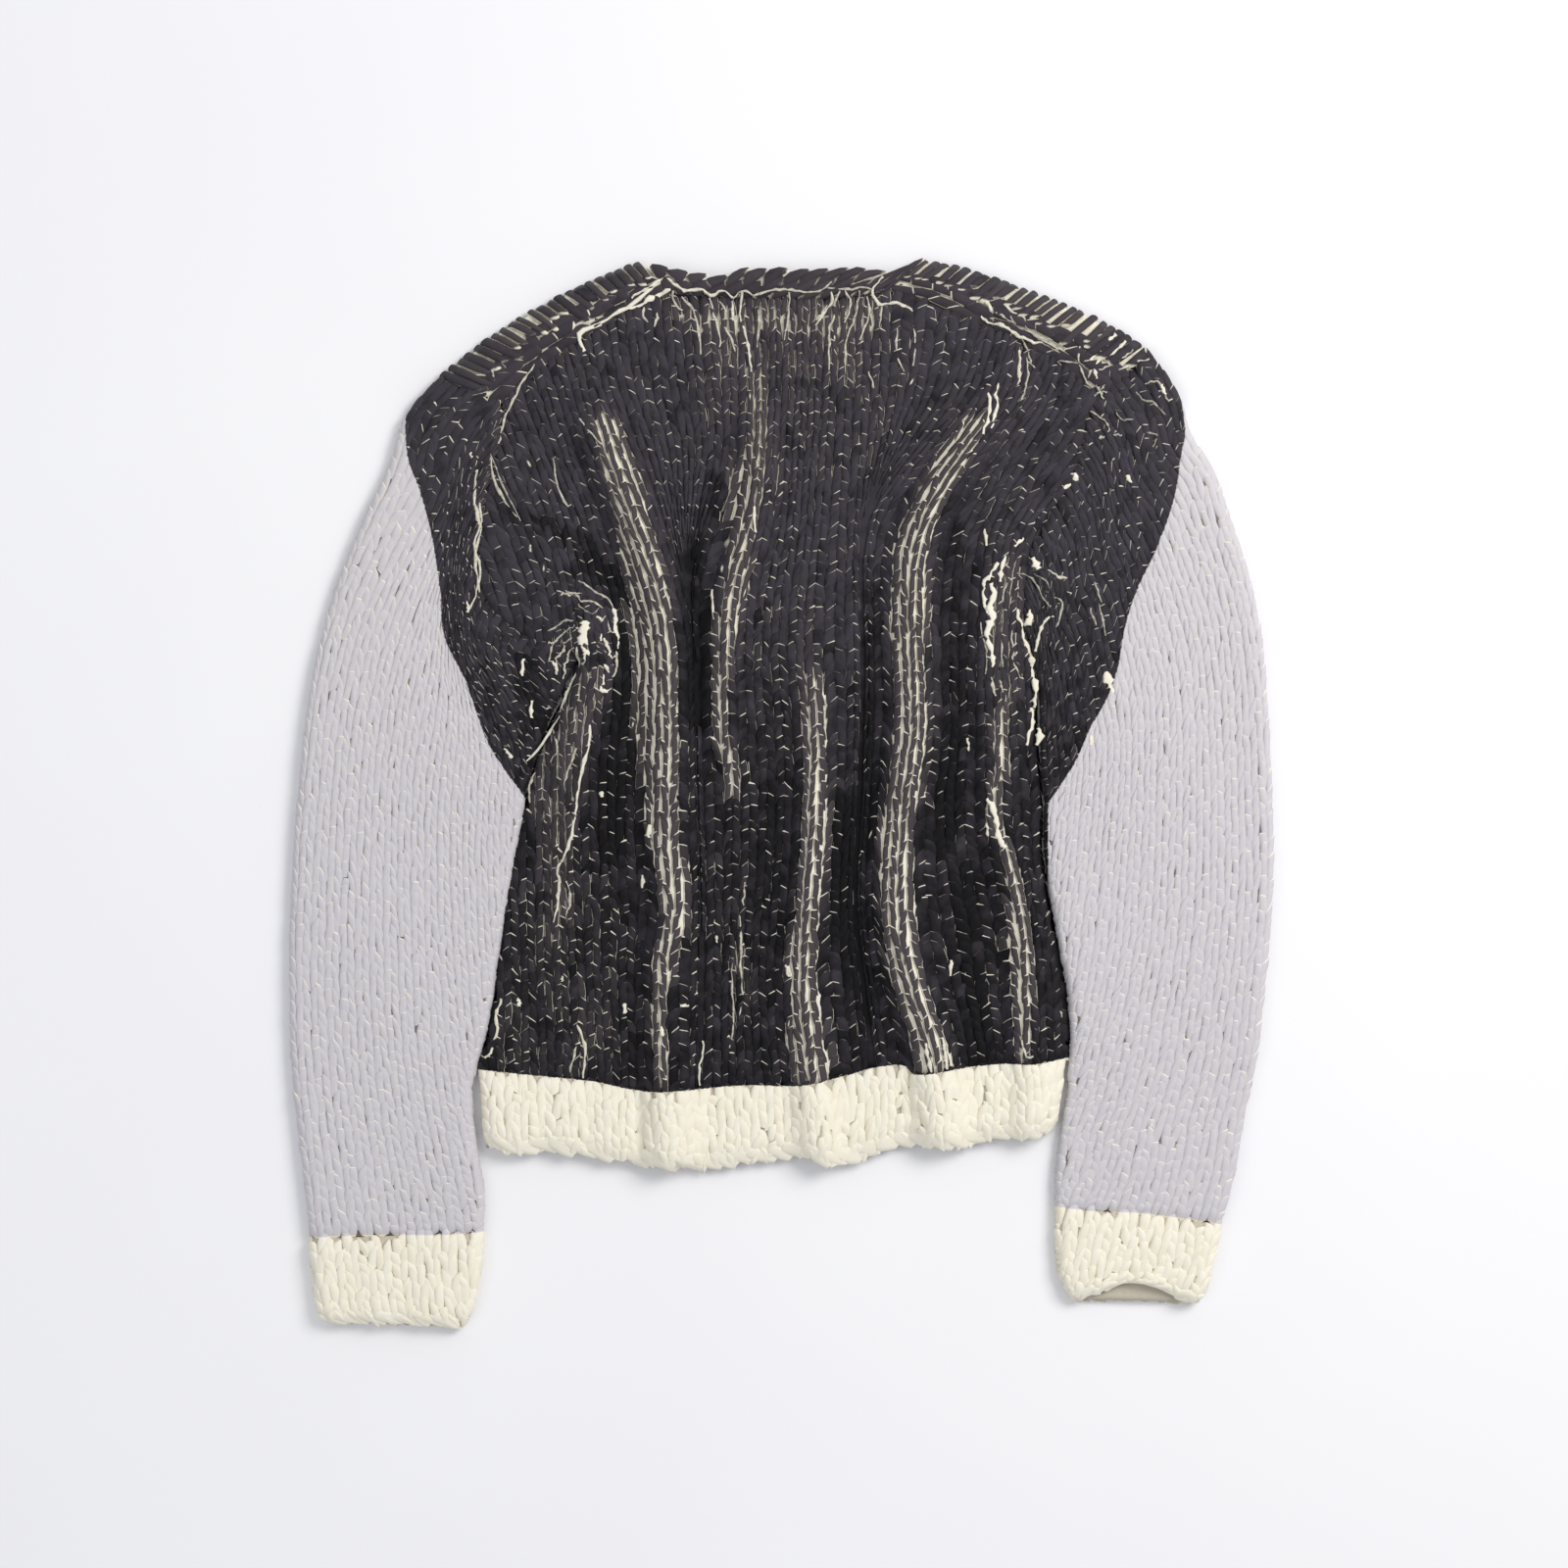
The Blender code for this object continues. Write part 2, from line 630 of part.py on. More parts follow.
def make_tube(name, material, sections):
    """A flattened tube from its sections, open at both ends."""
    solid = Solid()
    outer = [solid.row(*zip(*loops[0])) for loops in sections]
    fewer = sections[:-1:2] + sections[-1:]
    inner = [solid.row(*zip(*loops[1])) for loops in fewer]
    for grid in (outer, inner):
        for one, two in zip(grid, grid[1:]):
            solid.strip(one, two, closed=True)
    solid.strip(outer[0], inner[0], closed=True)
    solid.strip(outer[-1], inner[-1], closed=True)
    return solid.build(name, material)


def armhole_seam(armhole, fold, outward):
    """The sleeve's first section, from the fold over the shoulder to the underarm."""
    tip = armhole.at(1)
    seam = [mix(fold.at(1), tip, step) for step in STRIP_STEPS[:-1]]
    seam += [armhole.at(step) for step in reversed(ARM_STEPS)]
    clear = beside(seam, outward * SEAM_GAP, 1)
    clear[-1] = (seam[-1][0] + outward * 1.5 * SEAM_GAP, seam[-1][1] - SEAM_GAP)
    return clear


def make_sleeve(name, material, table, armhole, fold, outward):
    """A sleeve whose first section is the armhole seam and whose last meets the cuff."""
    seam = armhole_seam(armhole, fold, outward)
    outer_line = Line([seam[0]] + [(row.outer_x, row.outer_y) for row in table])
    inner_line = Line([seam[-1]] + [(row.inner_x, row.inner_y) for row in table])
    lengths = [0.0]
    for one, two in zip(seam, seam[1:]):
        lengths.append(lengths[-1] + math.dist(one, two))
    shares = [length / lengths[-1] for length in lengths]
    total = outer_line.lengths[-1]
    sections = []
    for ring in range(SLEEVE_RINGS + 1):
        along = min(ring / SLEEVE_RINGS, 1 - SEAM_GAP / total)
        start = outer_line.at(along)
        end = inner_line.at(along)
        keep = 1 - smooth_step(along / SEAM_SHAPE_REACH)
        drop = SEAM_DROP * (1 - quarter_round(min(along, 1 - along) * total, SEAM_REACH))
        line = []
        for share, seam_place in zip(shares, seam):
            straight = mix(start, end, share)
            from_seam = mix(seam[0], seam[-1], share)
            line.append(tuple(s + keep * (a - b) for s, a, b in zip(straight, seam_place, from_seam)))
        sections.append(tube_loops(line, line, [SLEEVE_TOP - drop] * len(line)))
    return make_tube(name, material, sections)


def make_cuff(name, material, table, arch):
    """A cuff with an open lower edge; arch draws the upper layer up at that edge."""
    outer_line = Line([(row.outer_x, row.outer_y) for row in table])
    inner_line = Line([(row.inner_x, row.inner_y) for row in table])
    sections = []
    for along in CUFF_ALONG:
        start = outer_line.at(along)
        end = inner_line.at(along)
        under = [mix(start, end, step) for step in CUFF_STEPS]
        top = []
        heights = []
        for step, plan in zip(CUFF_STEPS, under):
            draw = arch * along ** 3 * math.sin(math.pi * step) ** 2
            top.append((plan[0], plan[1] + draw))
            sewn = SEAM_DROP * (1 - quarter_round(along, CUFF_SEAM_SHARE))
            loose = CUFF_LIP_DROP * smooth_step(1 - (1 - along) / CUFF_LIP_SHARE)
            wave = CUFF_WAVE_HEIGHT * math.sin(2 * math.pi * CUFF_WAVES * step) * along
            heights.append(CUFF_TOP - sewn - loose + wave)
        sections.append(tube_loops(top, under, heights))
    return make_tube(name, material, sections)


def make_hem(material):
    """The hem all round, whose upper half carries on the folds of the back."""
    sections = []
    for along in HEM_ALONG:
        top = []
        heights = []
        for column in COLUMNS:
            plan = hem_place(hem_seam, hem_edge, column, along)
            rise = fold_rise(*plan) * (1 - HEM_CALM * along)
            rise += bulge_rise(plan[0]) * smooth_step(along / HEM_BULGE_SHARE)
            sewn = SEAM_DROP * (1 - quarter_round(along, HEM_SEAM_SHARE))
            loose = HEM_LIP_DROP * smooth_step(1 - (1 - along) / HEM_LIP_SHARE)
            top.append(plan)
            heights.append(HEM_TOP + rise - sewn - loose)
        under = [hem_place(hem_seam_below, hem_edge_below, column, along) for column in FRONT_COLUMNS]
        sections.append(tube_loops(top, under, heights))
    return make_tube("hem_band", material, sections)


def hem_place(seam, edge, column, along):
    start = seam.at(column)
    start = (start[0], start[1] - SEAM_GAP)
    return mix(start, edge.at(column), along)


def make_chain_edge(name, material, near_line, far_line, floor, top):
    """A bound-off edge between two lines, whose top swells with each chain stitch."""
    solid = Solid()
    rings = []
    travelled = 0.0
    for index, (near, far) in enumerate(zip(near_line, far_line)):
        if index:
            travelled += math.dist(far_line[index - 1], far)
        swell = math.cos(2 * math.pi * travelled / LINK)
        width = math.dist(near, far)
        high = top - floor + LINK_RELIEF * swell
        ring = []
        for turn in CHAIN_TURN:
            reach = turn.across * (width + LINK_BULGE * swell)
            ring.append(solid.add(moved(near, far, reach), floor + turn.height * high))
        rings.append(ring)
    for one, two in zip(rings, rings[1:]):
        solid.strip(one, two, closed=True)
    solid.face(rings[0])
    solid.face(rings[-1])
    return solid.build(name, material)


def halved(points):
    """The points with one more halfway between each two."""
    dense = []
    for one, two in zip(points, points[1:]):
        dense += [one, mix(one, two, 0.5)]
    return dense + [points[-1]]


def beside(points, distance, reach=2):
    """The points moved to the left of the line that they make."""
    shifted = []
    for index, place in enumerate(points):
        before = points[max(index - reach, 0)]
        after = points[min(index + reach, len(points) - 1)]
        length = math.dist(before, after)
        shifted.append((place[0] - (after[1] - before[1]) / length * distance,
                        place[1] + (after[0] - before[0]) / length * distance))
    return shifted


def make_neck_edges(material):
    """The edge across the back neck and the one round the front neckline below it."""
    columns = [NECK_FROM] + NECK_COLUMNS + [NECK_TO]
    seam = halved([top_point(column) for column in columns])
    near_line = beside(seam, SEAM_GAP)
    silhouette = Line(NECK_TOP_EDGE)
    far_line = [silhouette.at(k / (len(seam) - 1)) for k in range(len(seam))]
    near_line[0] = (near_line[0][0] + 2 * SEAM_GAP, near_line[0][1])
    far_line[0] = (far_line[0][0] + 2 * SEAM_GAP, far_line[0][1])
    near_line[-1] = (near_line[-1][0] - 2 * SEAM_GAP, near_line[-1][1])
    far_line[-1] = (far_line[-1][0] - 2 * SEAM_GAP, far_line[-1][1])
    make_chain_edge("neck_edge_back", material, near_line, far_line, MIDDLE, NECK_EDGE_TOP)
    below = [NECK_FROM] + NECK_COLUMNS[1::2] + [NECK_TO]
    neckline = halved([front_grid_point(column, 1.0) for column in below])
    near_line = beside(neckline, SEAM_GAP)[2:-2]
    far_line = beside(neckline, SEAM_GAP + FRONT_NECK_EDGE_WIDTH)[2:-2]
    make_chain_edge("neck_edge_front", material, near_line, far_line, 0.0, WALL - LINK_RELIEF)


def main():
    for thing in list(bpy.data.objects):
        bpy.data.objects.remove(thing, do_unlink=True)
    charcoal = knit_material("charcoal painted knit", CHARCOAL)
    grey = knit_material("lavender grey painted knit", LAVENDER_GREY)
    cream = knit_material("cream yarn", CREAM)
    make_back(charcoal)
    make_front(charcoal)
    make_sleeve("sleeve_left", grey, SLEEVE_LEFT, armhole_left, fold_left, -1)
    make_sleeve("sleeve_right", grey, SLEEVE_RIGHT, armhole_right, fold_right, 1)
    make_cuff("cuff_left", cream, CUFF_LEFT, 0.0)
    make_cuff("cuff_right", cream, CUFF_RIGHT, RIGHT_CUFF_ARCH)
    make_hem(cream)
    make_neck_edges(charcoal)


main()
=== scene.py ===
# %% [markdown]
# # A hand-knitted pullover, laid flat
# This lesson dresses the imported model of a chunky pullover. The real one is knitted
# from very thick wool in plain stocking stitch, then painted: charcoal on the body and
# the tops of the sleeves, a pale lavender grey on the sleeves, and nothing on the hem
# and cuffs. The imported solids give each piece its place, thickness and folds. What they
# lack is the knitting, so every stitch is laid on them here as real geometry.

from collections import namedtuple

import bmesh
import bpy
import numpy as np
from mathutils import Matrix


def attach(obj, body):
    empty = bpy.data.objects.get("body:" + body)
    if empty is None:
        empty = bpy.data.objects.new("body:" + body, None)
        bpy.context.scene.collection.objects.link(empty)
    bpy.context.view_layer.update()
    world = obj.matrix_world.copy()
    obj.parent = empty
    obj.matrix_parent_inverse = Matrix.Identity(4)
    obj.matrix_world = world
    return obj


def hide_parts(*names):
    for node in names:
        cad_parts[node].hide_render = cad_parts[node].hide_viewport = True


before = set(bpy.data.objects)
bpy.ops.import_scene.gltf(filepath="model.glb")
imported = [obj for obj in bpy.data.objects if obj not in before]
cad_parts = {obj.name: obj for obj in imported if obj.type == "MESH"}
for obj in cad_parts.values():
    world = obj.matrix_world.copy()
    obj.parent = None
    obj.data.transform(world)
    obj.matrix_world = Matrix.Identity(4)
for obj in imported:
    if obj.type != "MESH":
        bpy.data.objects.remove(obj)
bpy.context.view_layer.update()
MM = 0.001
chance = np.random.default_rng(11)

# %% [markdown]
# ## The camera
# The photograph looks straight down at the garment. A long lens from far above keeps
# the outline undistorted, as it is there. The middle of the picture is a little above
# and to the right of the middle of the garment, and the picture is 1088 mm wide.

# %% A camera straight above
VIEW_WIDTH = 1.088
LENS = 90.0
SENSOR = 36.0
GARMENT_LEVEL = 0.010
camera_data = bpy.data.cameras.new("above")
camera_data.lens = LENS
camera_data.sensor_width = SENSOR
camera = bpy.data.objects.new("above", camera_data)
bpy.context.scene.collection.objects.link(camera)
camera.location = (0.0017, 0.0061, GARMENT_LEVEL + VIEW_WIDTH * LENS / SENSOR)
bpy.context.scene.camera = camera
print("camera height, m:", round(camera.location.z, 3))

# %% [markdown]
# ## Curves through a few points
# Knitwear has no straight edges. Every outline below is a short table of points in
# millimetres, seen from above, and a smooth curve runs through them. Reading a curve by
# its share of the length, or by its height, lets rows of stitches follow it.

# %% Helpers for curves


def smooth_line(points, fine=16):
    """A dense curve through a few points."""
    given = np.array(points, float)
    before = np.vstack([given[:1], given[:-2]])[:, None, :]
    start = given[:-1][:, None, :]
    end = given[1:][:, None, :]
    after = np.vstack([given[2:], given[-1:]])[:, None, :]
    t = (np.arange(fine) / fine)[None, :, None]
    spots = 0.5 * (2 * start + (end - before) * t
                   + (2 * before - 5 * start + 4 * end - after) * t ** 2
                   + (3 * start - before - 3 * end + after) * t ** 3)
    return np.vstack([spots.reshape(-1, given.shape[1]), given[-1:]])


def at_share(line, shares):
    """Places on a line, given by shares of its length."""
    steps = np.linalg.norm(np.diff(line, axis=0), axis=1)
    lengths = np.concatenate([[0.0], np.cumsum(steps)]) / steps.sum()
    return np.stack([np.interp(shares, lengths, line[:, k]) for k in range(line.shape[1])], axis=-1)


def at_height(line, heights):
    """The x of a line that climbs steadily, at these y."""
    rising = line if line[-1, 1] > line[0, 1] else line[::-1]
    return np.interp(heights, np.maximum.accumulate(rising[:, 1]), rising[:, 0])


def at_side(line, places):
    """The y of a line that runs steadily to the right, at these x."""
    return np.interp(places, np.maximum.accumulate(line[:, 0]), line[:, 1])


def smooth_step(t):
    t = np.clip(t, 0.0, 1.0)
    return t * t * (3 - 2 * t)


def quarter_round(distance, reach):
    """0 on an edge and 1 from reach inward, as a quarter of an ellipse."""
    t = np.clip(distance / reach, 0.0, 1.0)
    return np.sqrt(1 - (1 - t) ** 2)


# %% [markdown]
# ## The cut of the pullover
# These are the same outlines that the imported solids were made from. Their points were
# chosen in the photograph, at 0.68 mm for each of its pixels. The body is bounded by two
# sides, two armholes, the shoulder seams with the neck between them, and the hem.

# %% Outlines of the body
SIDE_LEFT = ((-210, -192), (-203, -168), (-198, -140), (-195, -110), (-190, -66),
             (-183, -35), (-176, -5), (-170, 19), (-160, 46), (-150, 66), (-142, 84), (-140, 95))
SIDE_RIGHT = ((198, -184), (195.5, -140), (189.5, -104), (183.5, -70), (179.5, -38),
              (180, -4), (177.5, 21), (176, 44), (175.5, 74), (172, 99), (168, 115))
ARMHOLE_LEFT = ((-140, 95), (-158, 102), (-182, 111), (-202, 127), (-211, 150),
                (-210, 176), (-205, 210), (-196, 241), (-194, 271))
ARMHOLE_RIGHT = ((168, 115), (170, 135), (173, 163), (181, 182), (193, 202),
                 (204, 220), (211, 251), (219, 277))
SHOULDER_SEAM_LEFT = ((-194, 271), (-175, 288), (-150, 307), (-107, 334), (-80, 348))
SHOULDER_SEAM_RIGHT = ((73, 348), (97, 343), (128, 329), (158, 317), (190, 301), (219, 277))
BACK_NECK = ((-80, 348), (-58, 345), (-20, 344), (40, 344), (73, 348))
HEM_SEAM = ((-210, -192), (-173, -196), (-132, -200), (-91, -207), (-26, -203),
            (12, -203), (49, -195), (62, -191), (84, -189), (93, -195), (124, -191),
            (154, -188), (174, -188), (198, -184))
HEM_SEAM_BELOW = ((-210, -192), (-60, -198), (60, -196), (198, -184))
HEM_EDGE = ((-207, -243), (-187, -250), (-164, -247), (-144, -250), (-117, -254),
            (-100, -256), (-70, -260), (-40, -259), (12, -252), (36, -258),
            (62, -252), (75, -245), (87, -243), (111, -246), (132, -243),
            (149, -239), (172, -239), (191, -232))
HEM_EDGE_BELOW = ((-207, -243), (-60, -250), (60, -243), (191, -232))
NECK_TOP_EDGE = ((-97, 369.6), (-73, 362.5), (-36, 358.5), (2, 357), (36, 357.5),
                 (70, 360), (97, 370.0))
FOLD_LEFT = ((-97, 369.6), (-134, 355), (-167, 339), (-194, 323), (-216, 307), (-239, 288))
FOLD_RIGHT = ((97, 370.0), (130, 364), (178, 347), (217, 331), (246, 314), (257, 306))

whole_left = np.vstack([smooth_line(SIDE_LEFT), smooth_line(ARMHOLE_LEFT)[1:]])
whole_right = np.vstack([smooth_line(SIDE_RIGHT), smooth_line(ARMHOLE_RIGHT)[1:]])
whole_top = np.vstack([smooth_line(SHOULDER_SEAM_LEFT), smooth_line(BACK_NECK)[1:],
                       smooth_line(SHOULDER_SEAM_RIGHT)[1:]])
hem_seam = smooth_line(HEM_SEAM)
hem_seam_below = smooth_line(HEM_SEAM_BELOW)
UNDERARM_LEFT_Y = 95.0
UNDERARM_RIGHT_Y = 115.0
print("back neck, mm wide:", whole_top[:, 0].max() - whole_top[:, 0].min())

# %% [markdown]
# Four outlines make a patch: a place inside it is blended from the points across from it
# on each side. A Coons patch does this with one line of arithmetic. The walls of cloth
# below the stitches use it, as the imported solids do.

# %% Places on the body


def body_patch(columns, rows, bottom=hem_seam):
    """Places on the body for shares across and up it, as rows × columns × 2."""
    corners = [whole_left[0], whole_right[0], whole_left[-1], whole_right[-1]]
    left_y = corners[0][1] + (corners[2][1] - corners[0][1]) * rows
    right_y = corners[1][1] + (corners[3][1] - corners[1][1]) * rows
    left = np.stack([at_height(whole_left, left_y), left_y], axis=-1)[:, None, :]
    right = np.stack([at_height(whole_right, right_y), right_y], axis=-1)[:, None, :]
    low = at_share(bottom, columns)[None, :, :]
    high = at_share(whole_top, columns)[None, :, :]
    across = columns[None, :, None]
    up = rows[:, None, None]
    flat = ((corners[0] * (1 - across) + corners[1] * across) * (1 - up)
            + (corners[2] * (1 - across) + corners[3] * across) * up)
    return left * (1 - across) + right * across + low * (1 - up) + high * up - flat


# %% [markdown]
# The stitches need more than that. The wales, the upright columns of stitches, run along
# the ridges in which the cloth stands, and seven or so of them sink out of sight in the
# deep valley on either side of the middle. The table counts the wales from the left and
# gives the line of some of them. Wales that run outside the body are cut off there.

# %% The wales of the body
WALES = (
    # number of the wale from the left, and its line as (y, x) from the top down
    (0.0, ((350, -290), (285, -268), (200, -250), (150, -235), (100, -215), (40, -212), (-60, -212),
           (-195, -209), (-260, -208))),
    (4.4, ((350, -238), (285, -218), (250, -205), (200, -186), (150, -167), (110, -160), (40, -161),
           (-35, -161), (-110, -160), (-195, -158), (-260, -158))),
    (6.15, ((350, -218), (285, -198), (250, -184), (200, -164), (150, -148), (110, -139), (88, -137),
            (47, -141), (6, -143), (-75, -142), (-195, -138), (-260, -138))),
    (11.3, ((350, -157), (290, -139), (244, -126), (190, -106), (142, -89), (88, -80), (-28, -80),
            (-82, -77), (-130, -81), (-260, -79))),
    (13.2, ((350, -130), (285, -117), (240, -102), (190, -84), (142, -68), (108, -62), (88, -60.5),
            (0, -59), (-90, -57), (-192, -59), (-260, -59))),
    (20.0, ((350, -38), (285, -36), (240, -36), (205, -44), (175, -54), (142, -61), (108, -61),
            (88, -59), (0, -57.5), (-90, -55), (-192, -57), (-260, -57))),
    (21.5, ((350, -20), (282, -19), (224, -21), (183, -28), (142, -40), (108, -43), (47, -42),
            (0, -40), (-50, -40), (-150, -42), (-260, -42))),
    (26.7, ((350, 32), (280, 30), (200, 25), (110, 18), (33, 22), (-28, 20), (-103, 15), (-143, 15),
            (-198, 21), (-260, 28))),
    (29.9, ((350, 68), (270, 66), (217, 60), (176, 55), (129, 55), (88, 56), (0, 54), (-82, 51),
            (-184, 62), (-260, 68))),
    (34.4, ((350, 142), (285, 125), (248, 100), (217, 76), (190, 62), (160, 57), (129, 57), (88, 58),
            (0, 56), (-82, 53), (-184, 65), (-260, 71))),
    (37.5, ((350, 178), (285, 160), (248, 135), (217, 112), (176, 92), (129, 87), (47, 89), (-14, 82),
            (-82, 80), (-130, 88), (-184, 105), (-260, 113))),
    (42.7, ((350, 240), (285, 219), (240, 194), (205, 172), (170, 155), (108, 149), (47, 149),
            (-28, 151), (-69, 160), (-116, 167), (-260, 170))),
    (45.2, ((350, 300), (290, 270), (240, 235), (202, 200), (182, 186), (163, 178), (135, 175),
            (99, 175), (74, 177.5), (44, 178), (21, 179.5), (-4, 182), (-38, 181), (-70, 185),
            (-104, 190.5), (-140, 196), (-184, 198), (-260, 200))),
)
WALE = 11.4
BODY_WALES = WALES[-1][0]
body_width = BODY_WALES * WALE
knots = np.array([wale[0] for wale in WALES]) / BODY_WALES
knot_lines = [smooth_line(wale[1])[::-1, ::-1] for wale in WALES]


def wale_places(columns, y):
    """The x of wales, given by their shares across, at heights y (rows × columns)."""
    x = np.stack([at_height(line, y) for line in knot_lines], axis=-1)
    steps = np.diff(knots)
    slopes = np.maximum(np.diff(x, axis=-1), 0.01) / steps
    inner = 2 * slopes[..., 1:] * slopes[..., :-1] / (slopes[..., 1:] + slopes[..., :-1])
    tangents = np.concatenate([slopes[..., :1], inner, slopes[..., -1:]], axis=-1)
    k = np.clip(np.searchsorted(knots, columns, side="right") - 1, 0, len(steps) - 1)
    t = ((columns - knots[k]) / steps[k])[None, :]
    index = np.broadcast_to(k[None, :, None], y.shape + (1,))

    def pick(values, shift=0):
        return np.take_along_axis(values, index + shift, axis=-1)[..., 0]

    return ((1 + 2 * t) * (1 - t) ** 2 * pick(x) + t * t * (3 - 2 * t) * pick(x, 1)
            + steps[k][None, :] * (t * (1 - t) ** 2 * pick(tangents) - t * t * (1 - t) * pick(tangents, 1)))


HEM_LEVEL = -195.0     # where the search for the hem seam starts
BODY_END = 352.0
COURSE = 7.9
BODY_COURSES = 69


def wale_plan(columns, rows):
    """Places on the body and beyond it by wales and courses, as rows × columns × 2."""
    low = np.full((1, len(columns)), HEM_LEVEL)
    for _ in range(4):
        low = at_side(hem_seam, wale_places(columns, low))
    y = low + (BODY_END - low) * rows[:, None]
    return np.stack([wale_places(columns, y), y], axis=-1)


def inside_body(places):
    """Whether places lie within the seams of the body, or just past its free sides."""
    x = places[:, 0]
    y = places[:, 1]
    past_left = np.where(y < UNDERARM_LEFT_Y, -1.5, 1.5)
    past_right = np.where(y < UNDERARM_RIGHT_Y, -1.5, 1.5)
    return ((x > at_height(whole_left, y) + past_left) & (x < at_height(whole_right, y) - past_right)
            & (y < at_side(whole_top, x) - 0.5))


print(BODY_WALES, "wales of", WALE, "mm and", BODY_COURSES, "courses of", COURSE, "mm")


# %% [markdown]
# ## Folds
# Laid flat, the back is wider than the place it lies in, so it stands up in long soft
# ridges. Each row of the table gives one ridge: the widths of its two flanks, its
# height and the line of its crest from the top down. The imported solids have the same
# ridges, and a few smaller creases are added here that are too slight for them.

# %% The ridges
FOLDS = (
    # left, right, height, fade at the top and the bottom, crest as (y, x)
    (19, 20, 9.5, 26, 60, ((150, -150), (118, -136), (88, -131), (47, -141), (6, -148), (-75, -157))),
    (19, 25, 13.0, 60, 0, ((290, -139), (244, -126), (190, -106), (142, -89), (88, -80), (-28, -80),
                           (-82, -77), (-130, -81), (-260, -79))),
    (15, 21, 9.0, 40, 40, ((282, -19), (224, -16), (183, -23), (142, -36), (108, -42), (47, -42),
                           (0, -30))),
    (18, 16, 9.5, 60, 0, ((110, 18), (33, 22), (-28, 20), (-103, 15), (-143, 15), (-198, 21),
                          (-260, 28))),
    (20, 24, 13.0, 50, 0, ((285, 160), (248, 135), (217, 112), (176, 94), (129, 87), (47, 89),
                           (-14, 81), (-82, 76), (-130, 86), (-184, 103), (-260, 113))),
    (16, 22, 8.5, 30, 0, ((205, 172), (170, 150), (108, 145), (47, 147), (-28, 150), (-69, 160),
                          (-116, 169), (-260, 173))),
    (14, 18, 4.5, 30, 30, ((245, -196), (190, -178), (150, -150))),
    (12, 12, 3.5, 30, 30, ((-70, -32), (-165, -27))),
)
FOLD_BLEND = 4
FOLD_ROUND = 1.3


def fold_parts(x, y):
    """The rise of each fold at these places, and how close to its crest they are."""
    parts = []
    for left, right, height, fade_top, fade_bottom, crest in FOLDS:
        line = smooth_line(crest)[::-1]
        top = crest[0][0]
        bottom = crest[-1][0]
        aside = x - np.interp(y, line[:, 0], line[:, 1])
        across = np.clip(np.abs(aside) / np.where(aside > 0, right, left), 0, 1)
        strength = ((y <= top) & (y >= bottom)).astype(float)
        if fade_top:
            strength = strength * smooth_step((top - y) / fade_top)
        if fade_bottom:
            strength = strength * smooth_step((y - bottom) / fade_bottom)
        shape = strength * (1 - across * across) ** FOLD_ROUND
        parts.append((height * shape, shape))
    return parts


def fold_rise(x, y):
    """How far the folds lift the cloth."""
    total = np.zeros(np.broadcast(x, y).shape)
    for rise, shape in fold_parts(x, y):
        total = total + rise ** FOLD_BLEND
    return total ** (1 / FOLD_BLEND)


print("highest ridge, mm:", round(float(fold_rise(np.array([-80.0]), np.array([0.0]))[0]), 1))

# %% [markdown]
# ## Where the paint is worn
# The paint sits on the crests of the stitches and misses what lies deep between them.
# Where the cloth is stretched over a ridge the stitches open and bright lines of bare
# cream yarn show, while in the valleys they close up and stay black. A function gives
# this openness for any place: ridges, then single streaks and spots from a table.

